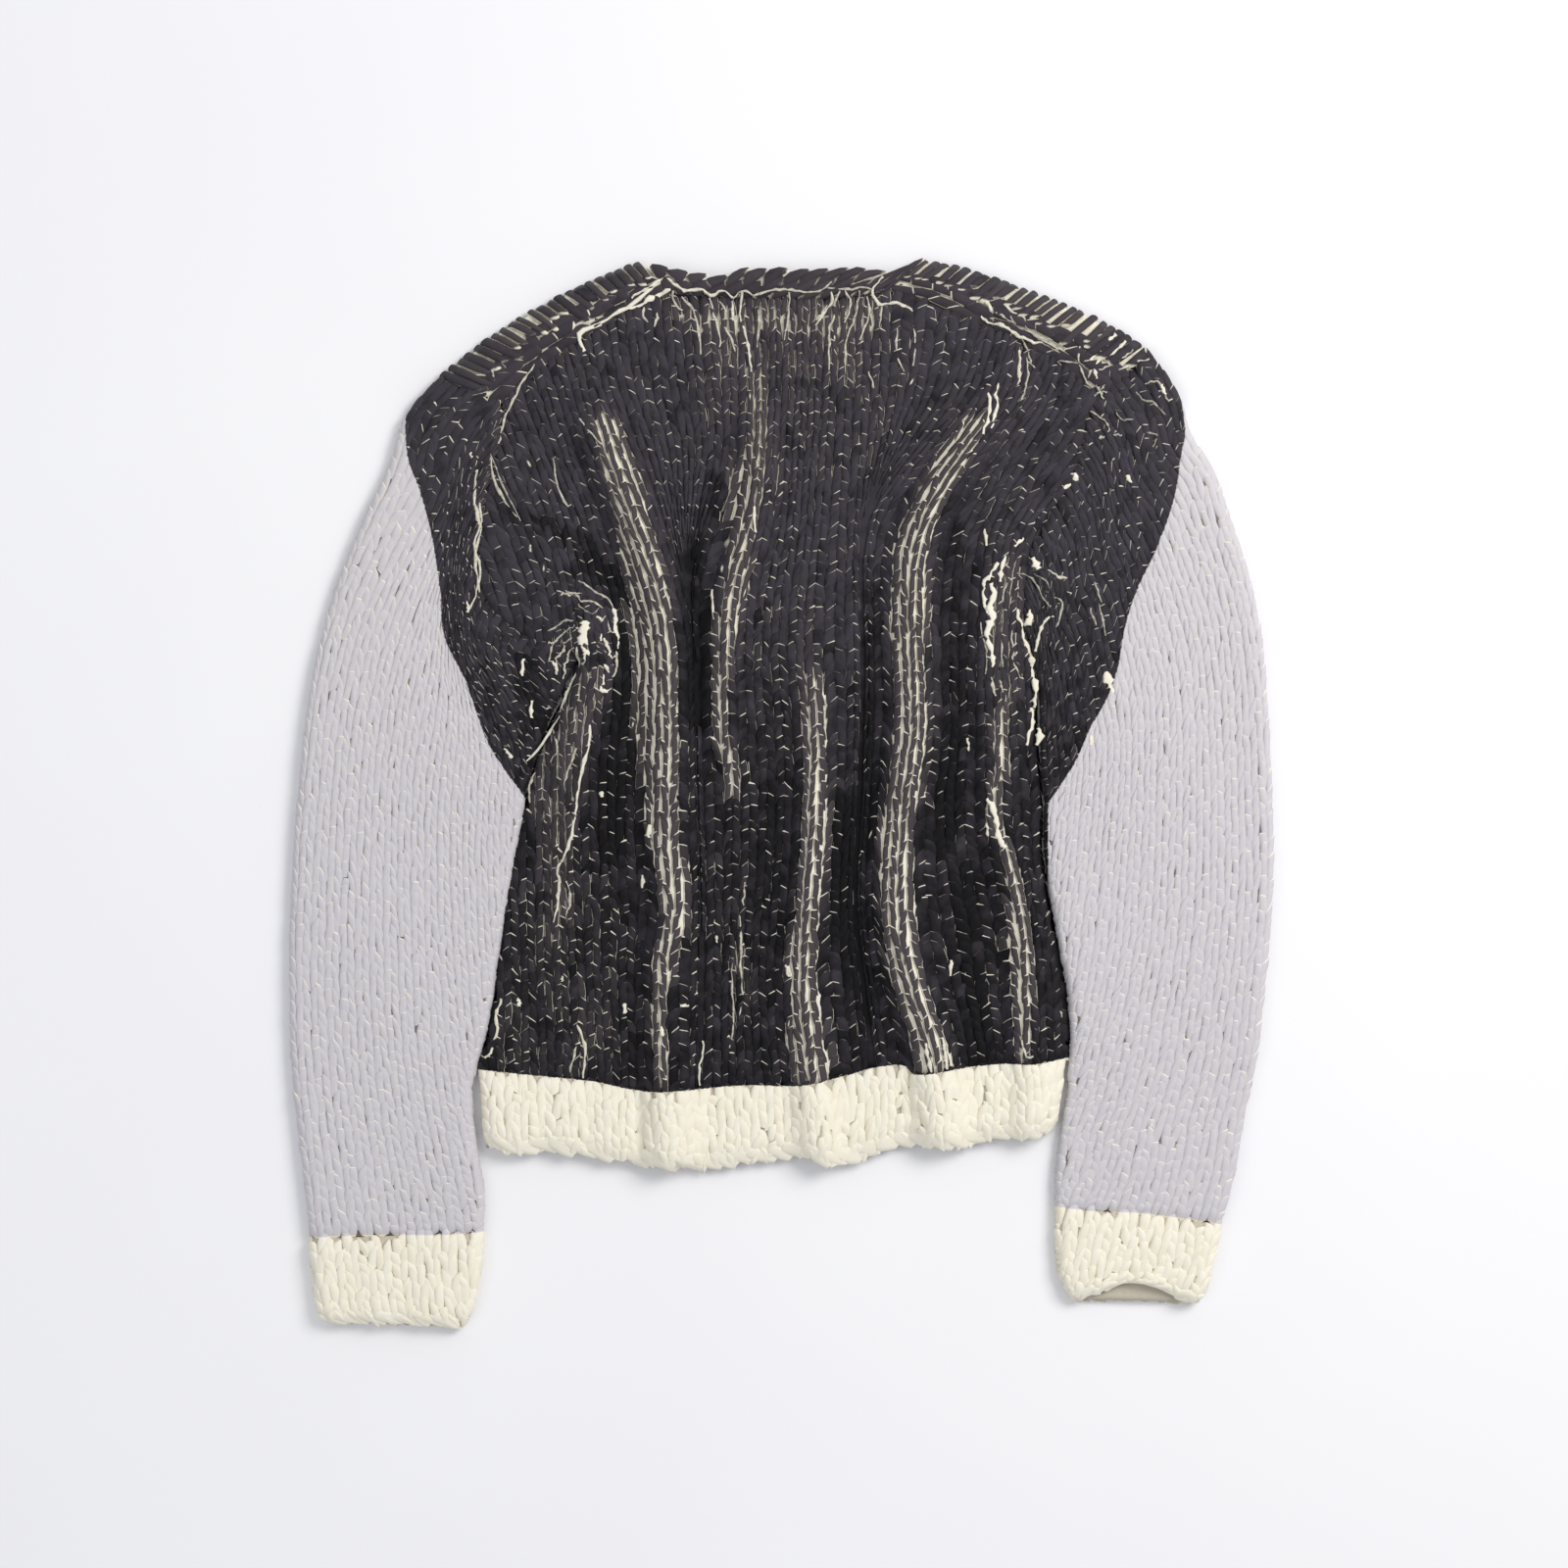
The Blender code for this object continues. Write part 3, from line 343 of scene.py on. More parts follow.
# %% Openness of the knitting
BANDS = (
    # strength, then height, middle and half width of the band of open stitches on a ridge
    (0.95, ((268, -125, 10), (245, -118, 11.5), (219, -111, 13.5), (198, -104, 13), (172, -99.5, 15),
            (146, -94, 17), (120, -90, 17), (94, -87, 17), (42, -87, 17), (12, -85, 14),
            (-22, -84, 12.5), (-40, -79, 12.5), (-57, -76.5, 13), (-92, -74, 10), (-109, -82, 8),
            (-127, -81, 10), (-144, -86, 7), (-179, -83, 7), (-200, -82, 6))),
    (0.85, ((302, -18, 7), (250, -15, 6.5), (224, -24, 14), (198, -26, 13), (172, -27.5, 11),
            (146, -31, 10), (120, -37, 10), (94, -40, 9), (68, -43, 9), (42, -42, 7.5), (16, -35, 7),
            (0, -34, 5.5))),
    (0.90, ((88, 16, 8), (68, 23, 9.5), (42, 24, 10), (2, 24, 11.5), (-36, 22, 11.5), (-74, 20, 10),
            (-112, 15.5, 13), (-150, 17, 13), (-169, 18.5, 15), (-188, 21, 16), (-204, 18, 12))),
    (0.95, ((268, 137, 8), (245, 125, 11), (224, 115, 15), (198, 102, 13), (172, 89.5, 15),
            (146, 88, 15), (120, 87.5, 16), (94, 88.5, 13), (68, 91, 12), (42, 88.5, 14),
            (2, 86.5, 12), (-17, 80.5, 14), (-36, 79, 13.5), (-74, 80.5, 15), (-102, 82.5, 14),
            (-121, 84.5, 14), (-140, 92, 12), (-159, 99.5, 14), (-192, 107, 15))),
    (0.95, ((64, 152, 8.5), (40, 151, 7), (21, 152, 7), (-7, 147, 6), (-26, 149.5, 7), (-45, 158.5, 5),
            (-64, 162, 7), (-83, 163, 9.5), (-102, 163, 11), (-121, 166.5, 11), (-140, 167, 9),
            (-184, 165, 7))),
    (0.52, ((168, 152, 12), (148, 155, 14), (100, 157, 15), (66, 155, 12))),
    (0.57, ((92, -130, 10), (81, -132, 13), (55, -141.5, 17), (29, -149, 20), (3, -155, 20),
            (-23, -156, 18), (-60, -158, 12), (-105, -160, 8))),
    (0.45, ((-30, -25, 5), (-120, -32, 5), (-190, -34, 4))),
    (0.76, ((344, 0, 78), (332, 0, 76), (318, 0, 60))),
    (0.50, ((320, 0, 76), (304, 5, 66), (290, 8, 40))),
    (0.36, ((300, 10, 80), (240, 12, 60), (215, 12, 30))),
    (0.33, ((150, 5, 32), (100, 8, 34), (20, 0, 12))),
    (0.40, ((-55, -150, 34), (-120, -152, 40), (-200, -156, 44))),
    (0.30, ((30, -52, 12), (-60, -44, 24), (-190, -40, 26))),
    (0.46, ((330, 85, 20), (300, 60, 26), (280, 50, 14))),
)
# %% Streaks, spots and valleys
STREAKS = (
    # strength, half width, points along the line
    (0.45, 5, SHOULDER_SEAM_LEFT[::-1]),
    (0.45, 5, SHOULDER_SEAM_RIGHT),
    (0.50, 5, ((-239, 288), (-218, 279), (-194, 271))),
    (0.60, 6, ((219, 280), (224, 290), (232, 296), (246, 299))),
    (0.50, 5, ((-194, 268), (-200, 240), (-208, 205), (-210, 176))),
    (0.45, 5, ((219, 278), (212, 252), (205, 222), (196, 204))),
)
SPOTS = (
    # strength, x, y, half width, half height
    (0.60, -142, 104, 18, 22),
    (0.90, -98, 366, 7, 6),
    (0.60, -80, 348, 7, 6),
)
# The valleys close the stitches, and there the charcoal is darkened as painted shade and thick paint.
VALLEYS = (
    # strength, half width, points along the line
    (1.0, 12, ((-131, 158), (-112, 140), (-107, 110), (-107, 66), (-112, 40), (-116, 5), (-118, -40))),
    (0.9, 13, ((-64, 160), (-59, 120), (-60, 70), (-59, 48))),
    (0.8, 12, ((-44, 210), (-58, 160))),
    (0.9, 12, ((46, -10), (44, -60), (50, -110), (58, -150))),
    (0.7, 8, ((63, 150), (62, 90), (60, 30), (56, -40))),
    (0.7, 12, ((120, 196), (118, 150), (122, 90), (118, 30), (112, -30))),
    (0.5, 12, ((-190, 190), (-170, 186), (-150, 178), (-128, 168))),
    (0.25, 12, ((-6, 80), (-4, 30), (-8, -20), (-12, -100))),
    (0.6, 12, ((130, -60), (132, -120), (138, -180))),
    (0.6, 14, ((-176, 90), (-170, 60), (-160, 46))),
)

# %% Reading the openness


def near_line(x, y, points, half_width):
    """1 on a line and 0 beyond its half width."""
    line = smooth_line(points, 4)
    nearest = np.full(x.shape, 1e9)
    for one, two in zip(line[:-1], line[1:]):
        run = two - one
        t = np.clip(((x - one[0]) * run[0] + (y - one[1]) * run[1]) / (run @ run), 0, 1)
        nearest = np.minimum(nearest, np.hypot(x - one[0] - t * run[0], y - one[1] - t * run[1]))
    return np.clip(1 - nearest / half_width, 0, 1) ** 0.7


FLAT_OPENNESS = 0.21
VALLEY_CLOSING = 0.85


def openness(x, y):
    """How far the stitches stand open, from 0 to 1."""
    amount = np.full(x.shape, FLAT_OPENNESS)
    for strength, middles in BANDS:
        line = smooth_line(middles, 4)[::-1]
        half = np.interp(y, line[:, 0], line[:, 2])
        inside = np.clip((half - np.abs(x - np.interp(y, line[:, 0], line[:, 1]))) / 4 + 0.5, 0, 1)
        inside = inside * np.clip((line[-1, 0] - y) / 8, 0, 1) * np.clip((y - line[0, 0]) / 8 + 1, 0, 1)
        amount = np.maximum(amount, strength * inside)
    for strength, half_width, points in VALLEYS:
        closing = strength * near_line(x, y, points, half_width)
        amount = amount * (1 - VALLEY_CLOSING * closing * (amount < 0.45))
    for strength, half_width, points in STREAKS:
        amount = np.maximum(amount, strength * near_line(x, y, points, half_width))
    for strength, spot_x, spot_y, half_width, half_height in SPOTS:
        away = np.hypot((x - spot_x) / half_width, (y - spot_y) / half_height)
        amount = np.maximum(amount, strength * np.clip(1.3 - away, 0, 1))
    return amount


def tone_and_valley_shade(x, y):
    """The tone of the charcoal: lighter towards the neck, and very dark in the valleys as painted shade and
    thick paint.
    """
    tone = -0.75 + 2.1 * smooth_step((y + 60) / 260)
    # painted shade: darker charcoal along each valley, together with the thicker paint there
    for strength, half_width, points in VALLEYS:
        tone = tone - 3.3 * strength * near_line(x, y, points, half_width)
    return tone


# %% [markdown]
# ## Paint lines
# The paint stops along crisp lines that take no notice of the stitches. Each vertex gets
# two signed distances in millimetres: how far it is into the charcoal, and how far into
# the part left unpainted. The material turns them into colour.

# %% Signed distances to the paint lines
PAINT_LEFT = ((-261, 253), (-259, 231), (-251, 210), (-243, 180), (-237, 142), (-234, 109),
              (-219, 77), (-205, 38), (-192, 16), (-181, 1), (-176, -7))
PAINT_RIGHT = ((278, 271), (280, 251), (277, 234), (272, 203), (260, 169), (247, 142), (238, 114),
               (233, 86), (225, 64), (214, 45), (203, 20), (185, -7))
CUFF_LINE_LEFT = ((-336, -309), (-285, -306.5), (-237, -306.5), (-200, -304))
CUFF_LINE_RIGHT = ((183, -286), (216, -290), (243, -291), (270, -294), (310, -300))
paint_left = smooth_line(PAINT_LEFT)
paint_right = smooth_line(PAINT_RIGHT)
SLANT = 0.8
ALL_DARK = 20.0


def paint_distances(x, y, piece):
    """How far into the charcoal, and how far into the unpainted wool, in mm."""
    dark = np.full(x.shape, ALL_DARK)
    bare = at_side(hem_seam, x) - y
    if piece.endswith("_left"):
        dark = (x - at_height(paint_left, y)) * SLANT
        bare = at_side(smooth_line(CUFF_LINE_LEFT), x) - y
    if piece.endswith("_right"):
        dark = (at_height(paint_right, y) - x) * SLANT
        bare = at_side(smooth_line(CUFF_LINE_RIGHT), x) - y
    return dark, bare


# %% [markdown]
# ## A face to knit on
# A swatch of knitting is flat and regular. A face bends it to a piece: it is a grid of
# places in space, read by a share across and a share along, with a normal at each. The
# stitches are made in the swatch and every vertex is then looked up on the face, so the
# rows follow folds and rounded edges with no further work.

# %% The face


class Face:
    def __init__(self, grid, shares, widths, length, upward=True):
        """grid is rows × columns × 3 in mm; widths, one for each row, and length are in mm."""
        self.grid = grid
        self.shares = shares
        self.widths = widths
        self.length = length
        across = np.gradient(grid, axis=1)
        along = np.gradient(grid, axis=0)
        normals = np.cross(across, along)
        normals /= np.maximum(np.linalg.norm(normals, axis=2, keepdims=True), 1e-9)
        middle = normals[len(grid) // 2, :, 2].mean()
        self.turned = (middle > 0) != upward
        self.normals = -normals if self.turned else normals
        self.around = False

    def turn_over(self):
        """Makes the other side of the face the one to knit on."""
        self.normals = -self.normals
        self.turned = not self.turned

    def width(self, along):
        rows = np.linspace(0, 1, len(self.widths))
        return np.interp(along, rows, self.widths)

    def at(self, share, along):
        """Places and normals for shares across and along."""
        if self.around:
            share = (share + 1) % 2 - 1
        along = np.clip(along, -0.3, 1.3)
        column = np.interp(share, self.shares, np.arange(len(self.shares)))
        below = share < self.shares[0]
        above = share > self.shares[-1]
        first = self.shares[1] - self.shares[0]
        last = self.shares[-1] - self.shares[-2]
        column = np.where(below, (share - self.shares[0]) / first, column)
        column = np.where(above, len(self.shares) - 1 + (share - self.shares[-1]) / last, column)
        row = along * (len(self.grid) - 1)
        c = np.clip(np.floor(column).astype(int), 0, len(self.shares) - 2)
        r = np.clip(np.floor(row).astype(int), 0, len(self.grid) - 2)
        u = (column - c)[..., None]
        v = (row - r)[..., None]
        found = []
        for field in (self.grid, self.normals):
            low = field[r, c] * (1 - u) + field[r, c + 1] * u
            high = field[r + 1, c] * (1 - u) + field[r + 1, c + 1] * u
            found.append(low * (1 - v) + high * v)
        normal = found[1] / np.maximum(np.linalg.norm(found[1], axis=-1, keepdims=True), 1e-9)
        return found[0], normal


def eased(count):
    """Shares from 0 to 1 that lie closer together near both ends."""
    return 0.5 - 0.5 * np.cos(np.pi * np.arange(count + 1) / count)


# %% [markdown]
# ## Faces of the body
# The back has its top face, rounded down towards the free sides. The front panel lies
# below with its underside flat on the surface, and its shoulders fold over the top edge
# onto the shown side as two strips.

# %% The face of the back
MIDDLE = 5.3
BODY_TOP = 11.2
SEAM_DROP = 1.6
SEAM_REACH = 9.0
EDGE_REACH = 10.0
RIM = 1.4


def back_heights(plan):
    """The height of the back's top, rounded at its free sides and sunk at its seams."""
    x = plan[..., 0]
    y = plan[..., 1]
    height = BODY_TOP + fold_rise(x, y)
    from_left = x - at_height(whole_left, y)
    from_right = at_height(whole_right, y) - x
    underarm = np.where(from_left < from_right, UNDERARM_LEFT_Y, UNDERARM_RIGHT_Y)
    from_side = np.minimum(from_left, from_right)
    free = smooth_step((underarm - y) / 24 + 0.5)
    from_seam = np.minimum(at_side(whole_top, x) - y, y - at_side(hem_seam, x))
    drop = (height - MIDDLE - RIM) * (1 - quarter_round(from_side, EDGE_REACH)) * free
    drop = drop + SEAM_DROP * (1 - quarter_round(from_side, SEAM_REACH)) * (1 - free)
    drop = drop + SEAM_DROP * (1 - quarter_round(from_seam, SEAM_REACH))
    beyond = np.clip(-from_side, 0, 3) * free
    return np.maximum(height - drop, MIDDLE + RIM) - 1.4 * beyond


columns = np.linspace(0, 1, 181)
rows = np.linspace(0, 1, 200)
plan = wale_plan(columns, rows)
back_grid = np.dstack([plan, back_heights(plan)])
back_face = Face(back_grid, columns, np.full(len(rows), body_width), BODY_COURSES * COURSE)
print("back face:", back_grid.shape, "top, mm:", round(float(back_grid[..., 2].max()), 1))

# %% [markdown]
# The underside of the front is a plain copy of the body's plan that rests on the
# surface. Its neckline is cut deeper than the back's, out of sight below it.

# %% The face of the front's underside
FRONT_NECK_DEPTH = 72.0
FRONT_LENGTH = 540.0
NECK_SHARES = (0.305, 0.642)


def front_limit(columns):
    """How far up the front reaches: to the shoulders, or less at its neckline."""
    across = 2 * (columns - NECK_SHARES[0]) / (NECK_SHARES[1] - NECK_SHARES[0]) - 1
    dip = np.clip(1 - np.abs(across) ** 2.6, 0, None)
    return 1 - FRONT_NECK_DEPTH / FRONT_LENGTH * dip


def front_plan(columns, rows):
    """The body's plan with each column cut off at the front's neckline."""
    fine = np.linspace(0, 1, 240)
    whole = body_patch(columns, fine, hem_seam_below)
    limits = front_limit(columns)
    cut = np.empty((len(rows), len(columns), 2))
    for k in range(len(columns)):
        for axis in (0, 1):
            cut[:, k, axis] = np.interp(rows * limits[k], fine, whole[:, k, axis])
    return cut


front_columns = eased(110)
front_rows = np.linspace(0, 1, 150)
front_flat = front_plan(front_columns, front_rows)
front_grid = np.dstack([front_flat, np.zeros(front_flat.shape[:2])])
front_face = Face(front_grid, front_columns, np.full(len(front_rows), body_width), FRONT_LENGTH,
                  upward=False)
print("front face:", front_grid.shape)

# %% [markdown]
# ## Faces of the sleeves
# A sleeve lies as a flattened tube. Its face is a closed loop: shares from 0 to 1 run
# over the top from the outer edge to the inner one, and shares from 0 to -1 run
# underneath. The first section is the armhole seam and the last meets the cuff, so the
# wales fan out below the shoulder and run straight down the arm, as in the photograph.

# %% Outer and inner lines of the sleeves
SLEEVE_LEFT_OUTER = ((-262, 262), (-273, 228), (-291, 190), (-308, 149), (-321, 105), (-330, 58),
                     (-337, -10), (-340.5, -60), (-342.4, -110), (-342, -160), (-340, -200),
                     (-336, -240), (-331, -280), (-328, -309))
SLEEVE_LEFT_INNER = ((-146, 86), (-150.5, 76), (-156, 64), (-163, 49), (-172.5, 23), (-179, -3),
                     (-186, -44), (-193, -84), (-198, -116), (-205, -162), (-214, -198),
                     (-212, -240), (-206, -276), (-207, -305))
SLEEVE_RIGHT_OUTER = ((276, 278), (285, 250), (301, 224), (313, 190), (325, 152), (334, 108),
                      (338, 61), (341, 5), (342.4, -48), (340, -97), (336, -139), (331, -183),
                      (322, -225), (316, -262), (306, -299))
SLEEVE_RIGHT_INNER = ((173.5, 106), (176.5, 94), (179.5, 80), (181, 62), (181, 42), (182, 15),
                      (184, -5), (183.5, -36), (188.5, -76), (194.5, -110), (200, -142),
                      (201.5, -184), (194, -232), (190, -262), (190, -287))
SLEEVE_TOP = 11.8
SLEEVE_LENGTH = 530.0
TUBE_ROUND = 4.0
SEAM_SHAPE_REACH = 0.3
CLOSE_UP = 1.8


def loop_face(plan_at, shares, rows, heights_at, lengths):
    """The closed face of a flattened tube from the plan of its two sides."""
    top_plan = plan_at(shares, rows, True)
    under_plan = plan_at(shares, rows, False)
    widths = np.linalg.norm(np.diff(top_plan, axis=1), axis=2).sum(axis=1)
    from_edge = np.minimum(shares, 1 - shares)[None, :] * widths[:, None]
    over = heights_at(top_plan, shares, rows)
    top_z = MIDDLE + (over - MIDDLE) * quarter_round(from_edge, EDGE_REACH)
    under_z = MIDDLE * (1 - quarter_round(from_edge, TUBE_ROUND))
    over_grid = np.dstack([top_plan, top_z])
    under_grid = np.dstack([under_plan, under_z])[:, ::-1][:, :-1]
    grid = np.concatenate([under_grid, over_grid], axis=1)
    all_shares = np.concatenate([-shares[::-1][:-1], shares])
    face = Face(grid, all_shares, widths, lengths)
    half = len(shares) - 1
    if face.normals[len(rows) // 2, half + half // 2, 2] < 0:
        face.turn_over()
    joined = face.normals[:, 0] + face.normals[:, -1]
    joined /= np.linalg.norm(joined, axis=1, keepdims=True)
    face.normals[:, 0] = joined
    face.normals[:, -1] = joined
    face.around = True
    print(f"  {len(rows)} rows, {widths.min():.0f} to {widths.max():.0f} mm wide, {lengths:.0f} long")
    return face


def sleeve_plan(armhole, fold, outer, inner):
    """A function that gives places on the sleeve, from the armhole down to the cuff."""
    tip = armhole[-1]
    strip = fold[-1] + (tip - fold[-1]) * np.linspace(0, 1, 8)[:-1, None]
    seam_line = np.vstack([strip, armhole[::-1]])
    outer_line = smooth_line(((seam_line[0][0], seam_line[0][1]),) + outer)
    inner_line = smooth_line(((seam_line[-1][0], seam_line[-1][1]),) + inner)
    inner_line[:, 0] -= CLOSE_UP * np.sign(inner_line[:, 0]) * (inner_line[:, 1] > -200)

    def plan_at(shares, rows, shown):
        seam = at_share(seam_line, shares)[None, :, :]
        start = at_share(outer_line, rows)[:, None, :]
        end = at_share(inner_line, rows)[:, None, :]
        across = shares[None, :, None]
        straight = start * (1 - across) + end * across
        from_seam = seam_line[0] * (1 - across) + seam_line[-1] * across
        keep = (1 - smooth_step(rows / SEAM_SHAPE_REACH))[:, None, None]
        return straight + keep * (seam - from_seam)

    return plan_at


def sleeve_heights(plan, shares, rows):
    """An almost flat top, sunk at both seams, with slow swells as in cloth laid by hand."""
    ends = np.minimum(rows, 1 - rows)[:, None] * SLEEVE_LENGTH
    swell = 0.5 * np.sin(plan[..., 0] / 19 + plan[..., 1] / 43) + 0.5 * np.sin(plan[..., 1] / 27)
    return SLEEVE_TOP - SEAM_DROP * (1 - quarter_round(ends, SEAM_REACH)) + swell * 0.7


sleeve_shares = eased(44)
sleeve_rows = np.linspace(0, 1, 130)
faces = {}
for side, armhole, fold, outer, inner in (
        ("left", ARMHOLE_LEFT, FOLD_LEFT, SLEEVE_LEFT_OUTER, SLEEVE_LEFT_INNER),
        ("right", ARMHOLE_RIGHT, FOLD_RIGHT, SLEEVE_RIGHT_OUTER, SLEEVE_RIGHT_INNER)):
    plan_at = sleeve_plan(smooth_line(armhole), smooth_line(fold), outer, inner)
    face = loop_face(plan_at, sleeve_shares, sleeve_rows, sleeve_heights, SLEEVE_LENGTH)
    faces["sleeve_" + side] = (face, plan_at)

# %% [markdown]
# ## Faces of the cuffs and the hem
# The cuffs carry on the sleeves, and the upper layer of the right one is drawn up in an
# arch at its open edge. The hem carries on the body with its ridges.

# %% Cuffs
CUFF_LEFT = ((-328, -309, -207, -305), (-327, -326, -208, -323), (-325, -344, -211, -344),
             (-322.5, -361, -215, -361), (-319, -366.5, -220, -370.4))
CUFF_RIGHT = ((306, -299, 190, -287), (302, -318, 190, -306), (298, -335, 191, -326),
              (294, -348, 196, -344), (290, -354, 201, -352))
CUFF_TOP = 13.0
CUFF_LENGTH = 60.0
RIGHT_CUFF_ARCH = 13.0


def cuff_plan(table, arch):
    """A function that gives places on a cuff, from its seam to its open edge."""
    outer_line = smooth_line([row[:2] for row in table])
    inner_line = smooth_line([row[2:] for row in table])

    def plan_at(shares, rows, shown):
        start = at_share(outer_line, rows)[:, None, :]
        end = at_share(inner_line, rows)[:, None, :]
        across = shares[None, :, None]
        places = start * (1 - across) + end * across
        if shown:
            draw = arch * rows[:, None] ** 3 * np.sin(np.pi * shares[None, :]) ** 2
            places[..., 1] += draw
        return places

    return plan_at


def cuff_heights(plan, shares, rows):
    sewn = SEAM_DROP * (1 - quarter_round(rows[:, None], 0.15))
    loose = 3.0 * smooth_step((rows[:, None] - 0.85) / 0.15)
    wave = 0.8 * np.sin(6.0 * np.pi * shares[None, :]) * rows[:, None]
    return CUFF_TOP - sewn - loose + wave


cuff_rows = np.linspace(0, 1, 24)
for side, table, arch in (("left", CUFF_LEFT, 0.0), ("right", CUFF_RIGHT, RIGHT_CUFF_ARCH)):
    plan_at = cuff_plan(table, arch)
    face = loop_face(plan_at, sleeve_shares, cuff_rows, cuff_heights, CUFF_LENGTH)
    faces["cuff_" + side] = (face, plan_at)

# %% [markdown]
# The hem is one flattened ring. It could be a last row of the body, but on the real
# pullover it is a piece of its own that lies thicker, with bulges where the ridges run
# out, so it gets its own face.

# %% The hem
HEM_TOP = 12.4
HEM_DEPTH = 50.0
HEM_BULGES = ((-187, 24, 3.0), (-148, 17, 2.5), (-116, 18, 2.5), (34, 25, 2.0), (149, 14, 2.0))
hem_edge = smooth_line(HEM_EDGE)
hem_edge_below = smooth_line(HEM_EDGE_BELOW)


def hem_plan(shares, rows, shown):
    seam = at_share(hem_seam if shown else hem_seam_below, shares)[None, :, :]
    edge = at_share(hem_edge if shown else hem_edge_below, shares)[None, :, :]
    down = rows[:, None, None]
    return seam * (1 - down) + edge * down


def hem_heights(plan, shares, rows):
    x = plan[..., 0]
    down = rows[:, None]
    rise = fold_rise(x, plan[..., 1]) * (1 - 0.25 * down)
    bulge = np.zeros(x.shape)
    for middle, half_width, height in HEM_BULGES:
        across = np.clip(np.abs(x - middle) / half_width, 0, 1)
        bulge = np.maximum(bulge, height * (1 - across * across))
    sewn = SEAM_DROP * (1 - quarter_round(down, 0.2))
    loose = 3.5 * smooth_step((down - 0.75) / 0.25)
    return HEM_TOP + rise + bulge * smooth_step(down * 3) - sewn - loose


hem_shares = eased(120)
hem_rows = np.linspace(0, 1, 24)
faces["hem_band"] = (loop_face(hem_plan, hem_shares, hem_rows, hem_heights, HEM_DEPTH), hem_plan)

# %% [markdown]
# ## Faces of the shoulders and the neck
# The shoulder strips start at the seam, run out to the fold and turn round it to the
# underside. The neck edge is one fat chain of stitches, so its face is a rounded bar.

# %% Shoulder strips
STRIP_TOP = 11.6
STRIP_WIDTH = 28.0
STRIP_AROUND = 68.0
STRIP_TURN = (
    # share of the strip's width, height
    (0.0, STRIP_TOP - SEAM_DROP), (0.25, STRIP_TOP), (0.6, STRIP_TOP), (0.82, STRIP_TOP - 1.4),
    (0.95, STRIP_TOP - 3.6), (1.0, MIDDLE), (0.95, 1.8), (0.86, 0.2), (0.5, 0.0), (0.0, 0.0),
)
strip_along = np.linspace(0, 1, 60)
turn = smooth_line(STRIP_TURN)
turn_shares = np.linspace(0, 1, 48)
strip_size = np.array([STRIP_WIDTH, 1.0])
turn_places = at_share(turn * strip_size, turn_shares) / strip_size
for side, seam, fold in (("left", smooth_line(SHOULDER_SEAM_LEFT)[::-1], smooth_line(FOLD_LEFT)),
                         ("right", smooth_line(SHOULDER_SEAM_RIGHT), smooth_line(FOLD_RIGHT))):
    near = at_share(seam, strip_along)[None, :, :]
    far = at_share(fold, strip_along)[None, :, :]
    across = turn_places[:, 0][:, None, None]
    plan = near * (1 - across) + far * across
    heights = np.broadcast_to(turn_places[:, 1][:, None], plan.shape[:2])
    length = np.linalg.norm(np.diff((near + far)[0] / 2, axis=0), axis=1).sum()
    strip = Face(np.dstack([plan, heights]), strip_along, np.full(len(turn_shares), length), STRIP_AROUND)
    if strip.normals[8, 30, 2] < 0:
        strip.turn_over()
    faces["strip_" + side] = (strip, None)
    print(side, "strip, mm long:", round(float(length)))

# %% [markdown]
# The neck is bound off in a chain as thick as a finger. The chain needs something to lie
# on, and a rounded bar between the neck seam and the top edge is the plainest form.

# %% Neck edges
NECK_EDGE_TOP = 12.2
BAR_WIDTH = 13.0
BAR_HEIGHT = 7.0
BAR_AROUND = 24.0
BAR_TURN = ((0.0, 0.0), (0.0, 0.62), (0.2, 0.93), (0.5, 1.0), (0.8, 0.93), (1.0, 0.62), (1.0, 0.12))


def bar_face(near, far, floor, high):
    """The rounded face of an edge between two lines."""
    bar_size = np.array([BAR_WIDTH, BAR_HEIGHT])
    profile = at_share(smooth_line(BAR_TURN) * bar_size, np.linspace(0, 1, 20)) / bar_size
    across = profile[None, :, 0, None]
    plan = near[:, None, :] * (1 - across) + far[:, None, :] * across
    heights = np.broadcast_to(floor + profile[None, :, 1] * high, plan.shape[:2])
    length = np.linalg.norm(np.diff(near, axis=0), axis=1).sum()
    face = Face(np.dstack([plan, heights]), np.linspace(0, 1, 20), np.full(len(near), BAR_AROUND), length)
    if face.normals[len(near) // 2, 10, 2] < 0:
        face.turn_over()
    return face


neck_along = np.linspace(0, 1, 80)
neck_seam = at_share(smooth_line(BACK_NECK), neck_along)
neck_far = at_share(smooth_line(NECK_TOP_EDGE), neck_along)
faces["neck_edge_back"] = (bar_face(neck_seam, neck_far, MIDDLE, NECK_EDGE_TOP - MIDDLE), None)
cut_columns = np.linspace(NECK_SHARES[0] + 0.025, NECK_SHARES[1] - 0.025, 80)
cut_line = front_plan(cut_columns, np.array([1.0]))[0]
run = np.gradient(cut_line, axis=0)
run /= np.linalg.norm(run, axis=1, keepdims=True)
cut_far = cut_line + np.stack([-run[:, 1], run[:, 0]], axis=-1) * 9.0
faces["neck_edge_front"] = (bar_face(cut_line, cut_far, 0.2, 4.2), None)

# %% [markdown]
# ## One stitch
# In stocking stitch every stitch shows two legs that meet at their heads and spread
# towards their tails. Here the yarn is so thick that a leg is a flat cell with a blunt,
# slanting head that covers the tail of the one beyond it. The cell is a low dome. Its
# rim falls off steeply all round, and that rim is what stays bare when a brush drags
# paint over the knitting.

# %% The shape of a leg


def grid_faces(row_count, column_count, start=0):
    """The quads of a grid of points that are numbered row by row."""
    index = start + np.arange(row_count * column_count).reshape(row_count, column_count)
    quads = np.stack([index[:-1, :-1], index[:-1, 1:], index[1:, 1:], index[1:, :-1]], axis=-1)
    return quads.reshape(-1, 4)


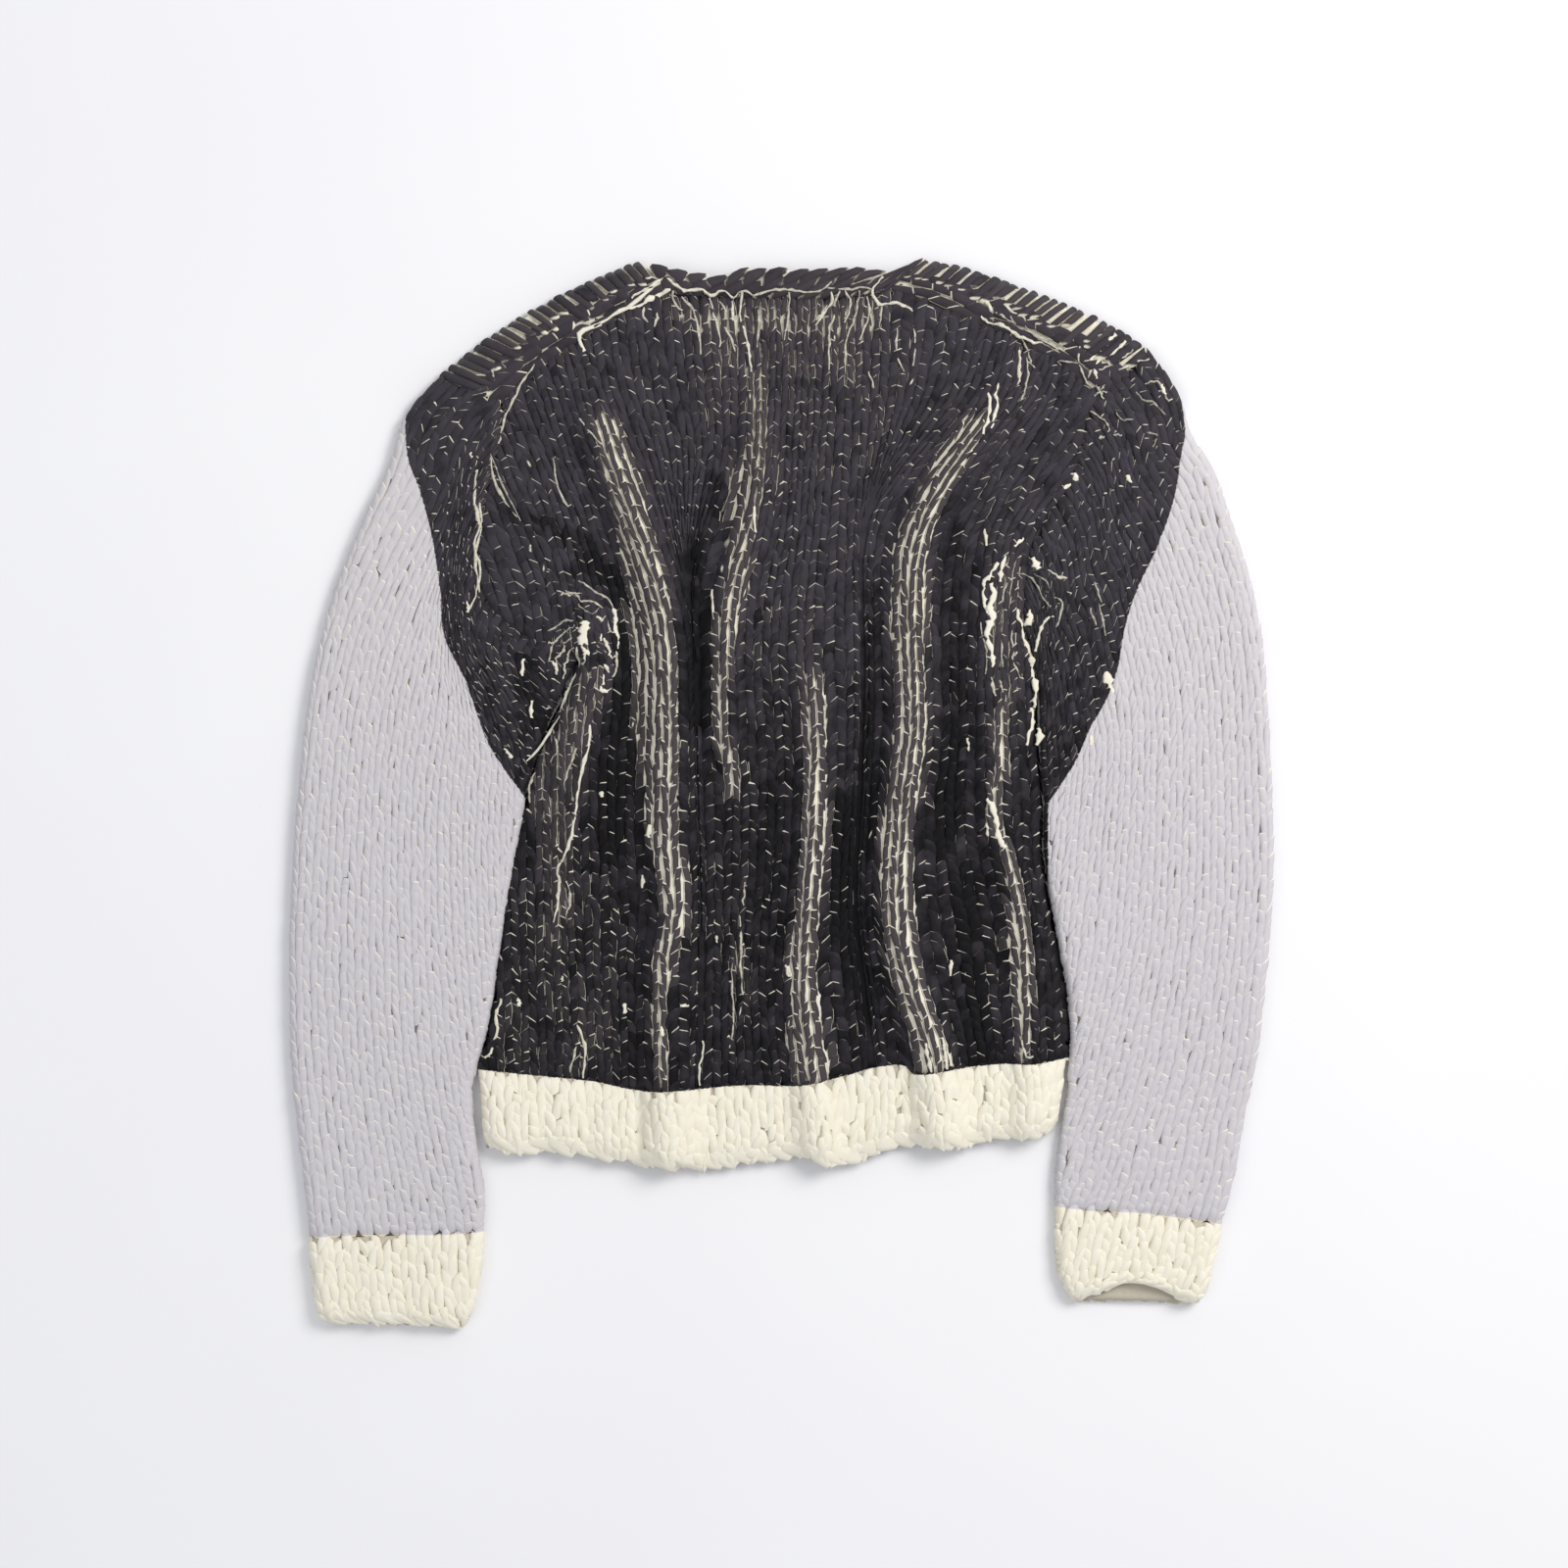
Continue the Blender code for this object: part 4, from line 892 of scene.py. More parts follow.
class Leg:
    """The points of one leg in shares of its size, with its faces."""

    def __init__(self, rings, across, dome):
        share, width, height, head = np.array(rings, float).T
        middle = np.outer(np.abs(share - 0.4) < 0.25, np.abs(across) < 0.2)
        self.share = np.repeat(share, len(across))
        self.aside = np.outer(width, across).ravel()
        self.height = np.outer(height, dome).ravel()
        self.head = np.repeat(head, len(across))
        self.rim = np.tile((np.abs(across) > 0.99).astype(float), len(rings))
        self.streak = middle.ravel().astype(float)
        self.quads = grid_faces(len(rings), len(across))


fine_leg = Leg((
    # share of the length, half width, height, 1 on the rim of the head
    (-0.04, 0.50, 0.20, 1.0),
    (0.015, 0.76, 0.84, 1.0),
    (0.09, 0.92, 1.00, 0.0),
    (0.40, 1.00, 0.97, 0.0),
    (0.72, 0.98, 0.76, 0.0),
    (1.00, 0.74, 0.42, 0.0),
), (-1.0, -0.82, -0.45, 0.0, 0.45, 0.82, 1.0), (0.0, 0.72, 0.96, 1.0, 0.96, 0.72, 0.0))
petal_leg = Leg((
    (-0.03, 0.30, 0.20, 1.0),
    (0.06, 0.66, 0.86, 0.5),
    (0.25, 1.00, 1.00, 0.0),
    (0.60, 0.96, 0.96, 0.0),
    (0.88, 0.62, 0.72, 0.3),
    (1.00, 0.30, 0.20, 1.0),
), (-1.0, -0.82, -0.45, 0.0, 0.45, 0.82, 1.0), (0.0, 0.66, 0.93, 1.0, 0.93, 0.66, 0.0))
plain_leg = Leg((
    (-0.03, 0.50, 0.30, 1),
    (0.12, 0.90, 0.95, 0),
    (0.60, 0.98, 0.90, 0),
    (1.00, 0.70, 0.50, 0),
), (-1.0, -0.6, 0.6, 1.0), (0.0, 0.9, 0.9, 0.0))
print("quads in a leg:", len(fine_leg.quads), "and in a plain one:", len(plain_leg.quads))

# %% [markdown]
# ## Knitting
# One function lays any number of legs on a face, each from its head to its tail. Hand
# knitting is never even, so each leg gets its own width, height and tone. Where the
# knitting stands open a leg is thinner and its sides are bare. A second function lays
# out the two legs of each stitch of a swatch.

# %% Legs on a face
SINK = 1.5
LEG_HEIGHT = 2.3


def drift(column, v):
    """A slow noise along each column of legs, from -1 to 1."""
    return (0.6 * np.sin(2.4 * column + 0.055 * v + 2.0 * np.sin(1.7 * column))
            + 0.4 * np.sin(5.2 * column - 0.14 * v))


def lay_legs(face, piece, head, tail, half, outward, leg=fine_leg, opening=None, flecks=0.0012,
             skew=0.62, head_wear=0.42, within=None, relief=1.0, column=None):
    """Points, faces and yarn values of legs from head to tail, both (n, 2) in mm on the face."""
    if within:
        middle = (head + tail) / 2
        places, normals = face.at(middle[:, 0] / face.width(middle[:, 1] / face.length),
                                  middle[:, 1] / face.length)
        kept = within(places)
        head, tail, half, outward, column = head[kept], tail[kept], half[kept], outward[kept], column[kept]
    count = len(head)
    wander = chance.normal(0, 1, (6, count))
    run = tail - head
    size = np.linalg.norm(run, axis=1, keepdims=True)
    run = run / size
    aside = np.stack([-run[:, 1], run[:, 0]], axis=-1)
    middle = (head + tail) / 2
    places, normals = face.at(middle[:, 0] / face.width(middle[:, 1] / face.length),
                              middle[:, 1] / face.length)
    middle_x = places[:, 0]
    middle_y = places[:, 1]
    if opening is None:
        amount = openness(middle_x, middle_y)
    else:
        amount = np.full(count, 1.0) * opening
    if column is not None:
        amount = amount + (0.09 + 0.14 * amount) * drift(column, head[:, 1])
    amount = np.clip(amount + (0.10 - 0.07 * amount) * wander[0], 0, 1)
    half = half * (1.20 - 0.56 * amount) * (1 + (0.09 - 0.06 * amount) * wander[1])
    slant = skew * (1 + 0.4 * wander[5]) * outward * np.sign(aside[:, 0])
    down = leg.share[None, :] * size + slant[:, None] * leg.aside[None, :] * half[:, None]
    over = leg.aside[None, :] * half[:, None]
    spots = head[:, None, :] + run[:, None, :] * down[..., None] + aside[:, None, :] * over[..., None]
    along = spots[..., 1] / face.length
    places, normals = face.at(spots[..., 0] / face.width(along), along)
    height = (SINK + (LEG_HEIGHT - SINK) * relief) * (1 + 0.08 * wander[2])
    lift = leg.height[None, :] * height[:, None] - SINK * (1 - 0.55 * leg.rim[None, :] * amount[:, None])
    points = places + normals * lift[..., None]
    points[..., 2] = np.maximum(points[..., 2], 0.15)
    faces_found = (leg.quads[None] + (np.arange(count) * leg.share.size)[:, None, None]).reshape(-1, 4)
    if not face.turned:
        faces_found = faces_found[:, ::-1]
    fleck = (chance.random(count) < flecks).astype(float)
    side_wear = np.clip(2.1 * amount - 0.12 + (0.42 - 0.32 * amount) * wander[3], 0, 1.3)
    worn_head = np.clip(head_wear + 0.75 * amount + 0.42 * wander[4], 0, 1.1) * smooth_step(amount / 0.06)
    bare = np.maximum(leg.rim[None, :] * side_wear[:, None], leg.head[None, :] * worn_head[:, None])
    bare = np.maximum(bare, leg.streak[None, :] * fleck[:, None])
    flat = np.ones_like(bare)
    dark, unpainted = paint_distances(points[..., 0], points[..., 1], piece)
    tone = tone_and_valley_shade(middle_x, middle_y) + 0.6 * chance.normal(0, 1, count)
    values = {
        "yarn": np.stack([bare, tone[:, None] * flat, amount[:, None] * flat], axis=-1).reshape(-1, 3),
        "paint": np.stack([dark, unpainted, 0 * flat], axis=-1).reshape(-1, 3),
    }
    return points.reshape(-1, 3), faces_found, values


# %% [markdown]
# A swatch repeats one stitch in columns and rows. Exact copies would look knitted by a
# machine, so every leg gets small errors of its own, and the columns sway a little.

# %% Stitches of a swatch
LEG_LENGTH = 1.62
HEAD_AT = 0.62
SWAY = 0.8


def knit(face, piece, q, row, courses, wale=WALE, leg=fine_leg, downward=True, fullness=1.0,
         unevenness=1.0, **finish):
    """The two legs of each stitch at q mm across the face, in these rows."""
    course = face.length / courses
    way = 1.0 if downward else -1.0
    side = np.tile([-1.0, 1.0], len(q))
    q = np.repeat(q, 2)
    column = 2 * np.round(q / wale) + side
    v = (np.repeat(row, 2) + 0.5) * course
    wander = chance.normal(0, 1, (5, len(q))) * unevenness
    head = np.stack([q + wale * (side * (0.205 + 0.02 * wander[0]) + 0.032 * wander[1]),
                     v - way * course * (HEAD_AT + 0.13 * wander[2])], axis=-1)
    tail = np.stack([q + wale * (side * (0.295 + 0.02 * wander[3]) + 0.028 * wander[1]),
                     v + way * course * (LEG_LENGTH - HEAD_AT + 0.06 * wander[4])], axis=-1)
    for end in (head, tail):
        end[:, 0] += SWAY * np.sin(0.26 * end[:, 1] + 1.9 * column)
    tail[:, 1] = np.clip(tail[:, 1], -2.5, face.length + 0.5)
    half = np.full(len(q), 0.25 * wale * fullness)
    return lay_legs(face, piece, head, tail, half, side, leg, column=column, **finish)


def make_piece(name, lots, material):
    """One mesh object from lots of points, faces and values."""
    sizes = np.cumsum([0] + [len(lot[0]) for lot in lots])
    corners = np.vstack([lot[1] + start for lot, start in zip(lots, sizes)])
    mesh = bpy.data.meshes.new(name)
    mesh.from_pydata((np.vstack([lot[0] for lot in lots]) * MM).tolist(), [], corners.tolist())
    for field in ("yarn", "paint"):
        values = np.vstack([lot[2][field] for lot in lots]).astype(np.float32)
        mesh.attributes.new(field, "FLOAT_VECTOR", "POINT").data.foreach_set("vector", values.ravel())
    mesh.shade_smooth()
    mesh.materials.append(material)
    piece = bpy.data.objects.new(name, mesh)
    bpy.context.scene.collection.objects.link(piece)
    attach(piece, "root")
    print(f"{name}: {2 * len(corners)} triangles")
    return piece


def stitch_grid(face, courses, wale, first_row=0, last_row=None, side=0, margin=0.3):
    """q and row of every stitch that fits, on the top (1), underneath (-1) or both (0)."""
    last_row = courses if last_row is None else last_row
    chosen_q = []
    chosen_row = []
    reach = int(face.widths.max() / wale) + 1
    for row in range(first_row, last_row):
        width = face.width((row + 0.5) / courses)
        steps = np.arange(-reach, reach + 1)
        if side > 0:
            steps = steps[steps >= 0]
        if side < 0:
            steps = steps[steps < 0]
        q = steps * wale
        q = q[np.abs(q) < width - margin * wale]
        if face.around and side >= 0:
            q = np.append(q, width)
        chosen_q.append(q)
        chosen_row.append(np.full(len(q), row))
    return np.concatenate(chosen_q), np.concatenate(chosen_row)


# %% [markdown]
# ## The materials
# One node group paints all the wool. It reads the values stored on each vertex: how
# bare the yarn is there, its tone, with painted shade in the valleys, how open the
# stitches stand, how much painted shade lies in the gaps, and the distances to the paint
# lines. A second group gives the fine fuzz of wool fibres. Each material places both
# groups with its own values and keeps its own shader.

# %% Node helpers


def new_group(name, inputs, outputs):
    """An empty shader group with named sockets."""
    group = bpy.data.node_groups.new(name, "ShaderNodeTree")
    for socket, kind, value in inputs:
        made = group.interface.new_socket(socket, in_out="INPUT", socket_type=kind)
        made.default_value = value
    for socket, kind in outputs:
        group.interface.new_socket(socket, in_out="OUTPUT", socket_type=kind)
    return group, group.nodes.new("NodeGroupInput"), group.nodes.new("NodeGroupOutput")


class Wiring:
    """Short ways to add nodes to a tree."""

    def __init__(self, tree):
        self.tree = tree

    def link(self, source, target):
        self.tree.links.new(source, target)

    def feed(self, socket, value):
        if isinstance(value, bpy.types.NodeSocket):
            self.link(value, socket)
        else:
            socket.default_value = value

    def math(self, operation, one, two=0.0, clamp=False):
        node = self.tree.nodes.new("ShaderNodeMath")
        node.operation = operation
        node.use_clamp = clamp
        self.feed(node.inputs[0], one)
        self.feed(node.inputs[1], two)
        return node.outputs[0]

    def ramp(self, value, low, high):
        """0 below low, 1 above high and smooth between."""
        node = self.tree.nodes.new("ShaderNodeMapRange")
        node.interpolation_type = "SMOOTHSTEP"
        self.feed(node.inputs["Value"], value)
        self.feed(node.inputs["From Min"], low)
        self.feed(node.inputs["From Max"], high)
        return node.outputs["Result"]

    def blend(self, share, one, two, way="MIX"):
        node = self.tree.nodes.new("ShaderNodeMix")
        node.data_type = "RGBA"
        node.blend_type = way
        self.feed(node.inputs[0], share)
        self.feed(node.inputs[6], one)
        self.feed(node.inputs[7], two)
        return node.outputs[2]

    def noise(self, scale, detail=2.0, stretch=None):
        place = self.tree.nodes.new("ShaderNodeTexCoord").outputs["Object"]
        if stretch:
            mapping = self.tree.nodes.new("ShaderNodeMapping")
            mapping.inputs["Scale"].default_value = stretch
            self.link(place, mapping.inputs["Vector"])
            place = mapping.outputs["Vector"]
        node = self.tree.nodes.new("ShaderNodeTexNoise")
        node.inputs["Scale"].default_value = scale
        node.inputs["Detail"].default_value = detail
        self.link(place, node.inputs["Vector"])
        return node.outputs["Fac"]

    def stored(self, field):
        node = self.tree.nodes.new("ShaderNodeAttribute")
        node.attribute_name = field
        split = self.tree.nodes.new("ShaderNodeSeparateXYZ")
        self.link(node.outputs["Vector"], split.inputs[0])
        return split.outputs


# %% [markdown]
# The real paint covers the crests of the stitches and leaves their rims bare. The group
# mixes charcoal, grey and cream from the stored values, and a fine noise frays every
# border. A painted picture could do this too, but it wouldn't follow each stitch.

# %% The group that paints the wool
CHARCOAL = (0.045, 0.0385, 0.0490, 1)
CHARCOAL_ON_RIDGES = (0.062, 0.052, 0.056, 1)
# the darkest charcoal, for dark paint and for the painted shade of the valleys
CHARCOAL_DARKEST_AND_SHADE = (0.0035, 0.0032, 0.0042, 1)
GREY = (0.562, 0.538, 0.575, 1)
GREY_WARM = (0.600, 0.570, 0.580, 1)
CREAM = (0.850, 0.810, 0.695, 1)
CREAM_WARM = (0.770, 0.705, 0.540, 1)
GAP_SHADE = (0.30, 0.25, 0.20, 1)

paint_group, given, result = new_group(
    "painted wool",
    [("Bare", "NodeSocketFloat", 0.0), ("Tone", "NodeSocketFloat", 0.0),
     ("Stitch Opening", "NodeSocketFloat", 0.0), ("Into Charcoal", "NodeSocketFloat", 0.0),
     ("Into Unpainted", "NodeSocketFloat", 0.0), ("Depth", "NodeSocketFloat", 0.0)],
    [("Colour", "NodeSocketColor"), ("Bare Mask", "NodeSocketFloat")])
wires = Wiring(paint_group)
blotch = wires.noise(90.0, 3.0)
speck = wires.math("SUBTRACT", wires.noise(420.0, 2.0), 0.5)
# a tone of 0 means the middle between the two shades
tone = wires.math("MULTIPLY_ADD", given.outputs["Tone"], 0.18)
paint_group.nodes[-1].inputs[2].default_value = 0.5
tone = wires.math("ADD", tone, wires.math("MULTIPLY", wires.math("SUBTRACT", blotch, 0.5), 0.9), clamp=True)
# low tones, which hold the painted valley shade, turn to the darkest charcoal
charcoal = wires.blend(wires.ramp(tone, 0.1, 1.0), CHARCOAL_DARKEST_AND_SHADE, CHARCOAL)
# lighter, browner charcoal where the stitches stand open on the ridges
charcoal = wires.blend(wires.ramp(given.outputs["Stitch Opening"], 0.25, 0.9), charcoal, CHARCOAL_ON_RIDGES)
grey = wires.blend(tone, GREY, GREY_WARM)
cream = wires.blend(wires.math("MULTIPLY", tone, 0.7), CREAM, CREAM_WARM)
edge = wires.math("MULTIPLY", speck, 1.6)
in_charcoal = wires.ramp(wires.math("ADD", given.outputs["Into Charcoal"], edge), -0.35, 0.35)
painted = wires.blend(in_charcoal, grey, charcoal)
bare = wires.math("ADD", given.outputs["Bare"], wires.math("MULTIPLY", speck, 0.5))
bare_mask = wires.ramp(bare, 0.25, 0.95)
worn = wires.blend(bare_mask, painted, cream)
in_cream = wires.ramp(wires.math("ADD", given.outputs["Into Unpainted"], edge), -0.3, 0.3)
colour = wires.blend(in_cream, worn, cream)
# painted shade: the yarn deep in the gaps is multiplied by a dark brown
colour = wires.blend(given.outputs["Depth"], colour, GAP_SHADE, "MULTIPLY")
wires.link(colour, result.inputs["Colour"])
wires.link(bare_mask, result.inputs["Bare Mask"])

# %% [markdown]
# Wool is fuzzy. Real fibres would take millions of hairs, so a fine stretched noise
# stands for them. It gives a mask for colour and roughness, and a slight relief.

# %% The group for wool fibres
fibre_group, given, result = new_group(
    "wool fibres",
    [("Strength", "NodeSocketFloat", 0.3)],
    [("Fuzz", "NodeSocketFloat"), ("Normal", "NodeSocketVector")])
wires = Wiring(fibre_group)
strands = wires.noise(1500.0, 3.0, (1.0, 0.35, 1.0))
lumps = wires.noise(260.0, 2.0)
fuzz = wires.math("ADD", wires.math("MULTIPLY", strands, 0.6), wires.math("MULTIPLY", lumps, 0.4))
bump = fibre_group.nodes.new("ShaderNodeBump")
bump.inputs["Distance"].default_value = 0.0006
wires.link(given.outputs["Strength"], bump.inputs["Strength"])
wires.link(fuzz, bump.inputs["Height"])
wires.link(fuzz, result.inputs["Fuzz"])
wires.link(bump.outputs["Normal"], result.inputs["Normal"])


# %% [markdown]
# Painted wool, bare wool and the yarn in the gaps differ only in their values. One
# function places both groups, and each material gets its own numbers.

# %% Materials from the groups


def wool(name, roughness, sheen, relief, deep=False):
    """A wool material; deep multiplies painted shade into the yarn that lies between the stitches."""
    material = bpy.data.materials.new(name)
    material.use_nodes = True
    tree = material.node_tree
    shader = tree.nodes["Principled BSDF"]
    wires = Wiring(tree)
    yarn = wires.stored("yarn")
    paint = wires.stored("paint")
    colours = tree.nodes.new("ShaderNodeGroup")
    colours.node_tree = paint_group
    for socket, source in (("Bare", yarn[0]), ("Tone", yarn[1]), ("Stitch Opening", yarn[2]),
                           ("Into Charcoal", paint[0]), ("Into Unpainted", paint[1])):
        wires.link(source, colours.inputs[socket])
    if deep:
        wires.link(paint[2], colours.inputs["Depth"])
    fibres = tree.nodes.new("ShaderNodeGroup")
    fibres.node_tree = fibre_group
    fibres.inputs["Strength"].default_value = relief
    shade = wires.blend(0.16, colours.outputs["Colour"], fibres.outputs["Fuzz"], "OVERLAY")
    wires.link(shade, shader.inputs["Base Color"])
    wires.link(fibres.outputs["Normal"], shader.inputs["Normal"])
    wires.link(wires.ramp(fibres.outputs["Fuzz"], -0.6, 1.2), shader.inputs["Roughness"])
    shader.inputs["Specular IOR Level"].default_value = 0.14
    shader.inputs["Sheen Weight"].default_value = sheen
    shader.inputs["Sheen Roughness"].default_value = roughness
    return material


charcoal_wool = wool("charcoal painted wool", 0.5, 0.04, 0.35)
grey_wool = wool("grey painted wool", 0.5, 0.05, 0.30)
cream_wool = wool("cream bare wool", 0.5, 0.08, 0.30)
charcoal_ground = wool("charcoal wool between stitches", 0.5, 0.0, 0.35, deep=True)
pale_ground = wool("pale wool between stitches", 0.5, 0.0, 0.30, deep=True)

# %% [markdown]
# ## The yarn below the stitches
# Between the legs one sees the loops behind them. A wall of cloth in the form of each
# imported solid, a little below its surface, stands for them and for the thickness of the
# knit. It takes the place of the plain solid, which is hidden.

# %% Walls of cloth
WALL = 5.0
SLIT = 0.6
SLIT_MOST = 3.4
DRAW_REACH = 24.0


def ground_values(points, piece, depth, bare=None):
    """Yarn and paint values for the places between the stitches."""
    x = points[:, 0]
    y = points[:, 1]
    amount = openness(x, y)
    bare = np.clip(1.30 * amount - 0.24, 0, 1.1) if bare is None else np.full(len(x), bare)
    dark, unpainted = paint_distances(x, y, piece)
    # how much painted shade the yarn in the gaps gets
    deep = np.full(len(x), depth)
    return {
        "yarn": np.stack([bare, tone_and_valley_shade(x, y), amount], axis=-1),
        "paint": np.stack([dark, unpainted, deep], axis=-1),
    }


def closed_wall(one, two, piece, depth, around=False, bare=None):
    """A closed wall between two grids of the same size; around joins first and last columns."""
    row_count, column_count = one.shape[:2]
    points = np.vstack([one.reshape(-1, 3), two.reshape(-1, 3)])
    size = row_count * column_count
    index = np.arange(size).reshape(row_count, column_count)
    lots = [grid_faces(row_count, column_count), grid_faces(row_count, column_count, size)[:, ::-1]]
    for line, turned in ((index[0], True), (index[-1], False)):
        rim = np.stack([line[:-1], line[1:], line[1:] + size, line[:-1] + size], axis=-1)
        lots.append(rim if turned else rim[:, ::-1])
    if not around:
        for line, turned in ((index[:, 0], False), (index[:, -1], True)):
            rim = np.stack([line[:-1], line[1:], line[1:] + size, line[:-1] + size], axis=-1)
            lots.append(rim if turned else rim[:, ::-1])
    return points, np.vstack(lots), ground_values(points, piece, depth, bare)


def tidy_wall(piece):
    """Joins doubled points and turns every face outward."""
    shape = bmesh.new()
    shape.from_mesh(piece.data)
    bmesh.ops.remove_doubles(shape, verts=shape.verts, dist=0.00002)
    bmesh.ops.recalc_face_normals(shape, faces=shape.faces)
    shape.to_mesh(piece.data)
    shape.free()
    return piece


def tube_wall(name, piece, shares, rows, material, depth=0.9):
    """The wall of a flattened tube, from its face inward to the slit between its layers."""
    face, plan_at = faces[piece]
    outer, normal = face.at(np.broadcast_to(face.shares, (len(rows), len(face.shares))),
                            np.broadcast_to(rows[:, None], (len(rows), len(face.shares))))
    outer = outer - normal * SINK
    widths = face.width(rows)[:, None]
    lots = []
    for shown in (False, True):
        kept = shares if shown else shares[::-1][:-1]
        drawn = kept + WALL / widths * np.clip(1 - kept * widths / DRAW_REACH, 0, None)
        drawn = drawn - WALL / widths * np.clip(1 - (1 - kept) * widths / DRAW_REACH, 0, None)
        plan = np.empty(drawn.shape + (2,))
        for k, row in enumerate(rows):
            plan[k] = plan_at(drawn[k], np.array([row]), shown)[0]
        round_off = quarter_round(np.minimum(kept, 1 - kept) * widths, EDGE_REACH)
        thick = outer[:, -len(shares):, 2].max() - 2 * WALL
        slit = min(max(thick, SLIT), SLIT_MOST)
        height = WALL + SLIT / 2 + (slit - SLIT / 2) * round_off if shown else np.full(drawn.shape, WALL)
        lots.append(np.dstack([plan, height]))
    inner = np.concatenate(lots, axis=1)
    inner[:, -1] = inner[:, 0]
    made = make_piece(name, [closed_wall(outer, inner, piece, depth, around=True)], material)
    return tidy_wall(made)


ground_columns = eased(96)
ground_rows = np.linspace(0, 1, 110)
ground_plan = body_patch(ground_columns, ground_rows)
upper = np.dstack([ground_plan, back_heights(ground_plan) - SINK])
lift = np.minimum(SLIT_MOST, fold_rise(ground_plan[..., 0], ground_plan[..., 1]) * 0.3)
lower = np.dstack([ground_plan, np.minimum(MIDDLE + lift, upper[..., 2] - 0.2)])
back_wall = closed_wall(upper, lower, "back", 0.0)
back_cloth = tidy_wall(make_piece("back_cloth", [back_wall], charcoal_ground))
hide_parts("back")

# %% [markdown]
# The front panel lies hidden below the back, so its wall is plain. Its shoulders show as
# strips folded over the top edge, and each strip has a wall that follows the turn.

# %% The front and its strips
front_part_columns = eased(70)
front_part_rows = np.linspace(0, 1, 70)
front_part = front_plan(front_part_columns, front_part_rows)
under = np.dstack([front_part, np.full(front_part.shape[:2], SINK)])
over = np.dstack([front_part, np.full(front_part.shape[:2], WALL)])
front_wall = closed_wall(over, under, "front", 0.0)
front_cloth = tidy_wall(make_piece("front_cloth", [front_wall], charcoal_ground))
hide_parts("front")
for side in ("left", "right"):
    strip = faces["strip_" + side][0]
    outer = strip.grid - strip.normals * (SINK + 0.7)
    outer[..., 2] = np.maximum(outer[..., 2], SINK)
    inner = outer.copy()
    near = strip.grid[0, :, :2]
    inner[..., :2] = near[None] + (outer[..., :2] - near[None]) * 0.86
    inner[..., 2] = np.clip(outer[..., 2], WALL - 1.5, MIDDLE + 1.2)
    cloth = tidy_wall(make_piece(f"shoulder_strip_{side}_cloth",
                                 [closed_wall(outer, inner, "front", 0.0, bare=0.85)], charcoal_ground))

# %% [markdown]
# Sleeves, cuffs and hem are tubes. Their walls run all round and close at both rims, so
# that each is a real layer of cloth with an inside.

# %% Sleeves, cuffs and hem
wall_rows = np.linspace(0, 1, 60)
for side in ("left", "right"):
    tube_wall(f"sleeve_{side}_cloth", "sleeve_" + side, sleeve_shares, wall_rows,
                                    pale_ground)
    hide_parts("sleeve_" + side)
short_rows = np.linspace(0, 1, 14)
for side in ("left", "right"):
    tube_wall(f"cuff_{side}_cloth", "cuff_" + side, sleeve_shares, short_rows,
                                  pale_ground, 0.5)
    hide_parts("cuff_" + side)
hem_cloth = tube_wall("hem_cloth", "hem_band", hem_shares, short_rows, pale_ground, 0.5)
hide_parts("hem_band")

# %% [markdown]
# ## Knit every piece
# The top of each piece is knitted with full petals. The side that lies on the surface
# is knitted too, with plainer legs, because the model is also seen from below.

# %% Stitches of the body


def not_sunk(face, q, row):
    """Whether wales are still wide enough to be seen, and not sunk in a valley."""
    along = (row + 0.5) / BODY_COURSES
    left, _ = face.at((q - WALE / 2) / body_width, along)
    right, _ = face.at((q + WALE / 2) / body_width, along)
    return np.linalg.norm(right - left, axis=1) > 0.30 * WALE


middle_row = BODY_COURSES // 2
for name, first, last in (("back_stitches_lower", 0, middle_row),
                          ("back_stitches_upper", middle_row, BODY_COURSES)):
    q, row = stitch_grid(back_face, BODY_COURSES, WALE, first, last, side=1, margin=-0.3)
    seen = not_sunk(back_face, q, row)
    q, row = q[seen], row[seen]
    lot = knit(back_face, "back", q, row, BODY_COURSES, downward=False, within=inside_body)
    make_piece(name, [lot], charcoal_wool)
q, row = stitch_grid(front_face, BODY_COURSES, WALE, side=1, margin=-0.3)
front_pieces = [make_piece("front_stitches", [knit(front_face, "front", q, row, BODY_COURSES, leg=plain_leg,
                                                   downward=False)], charcoal_wool)]

# %% [markdown]
# On the shoulder strips long legs run out from a line of sideways cells and turn over
# the fold. Their round ends make the scalloped outline of the shoulders.

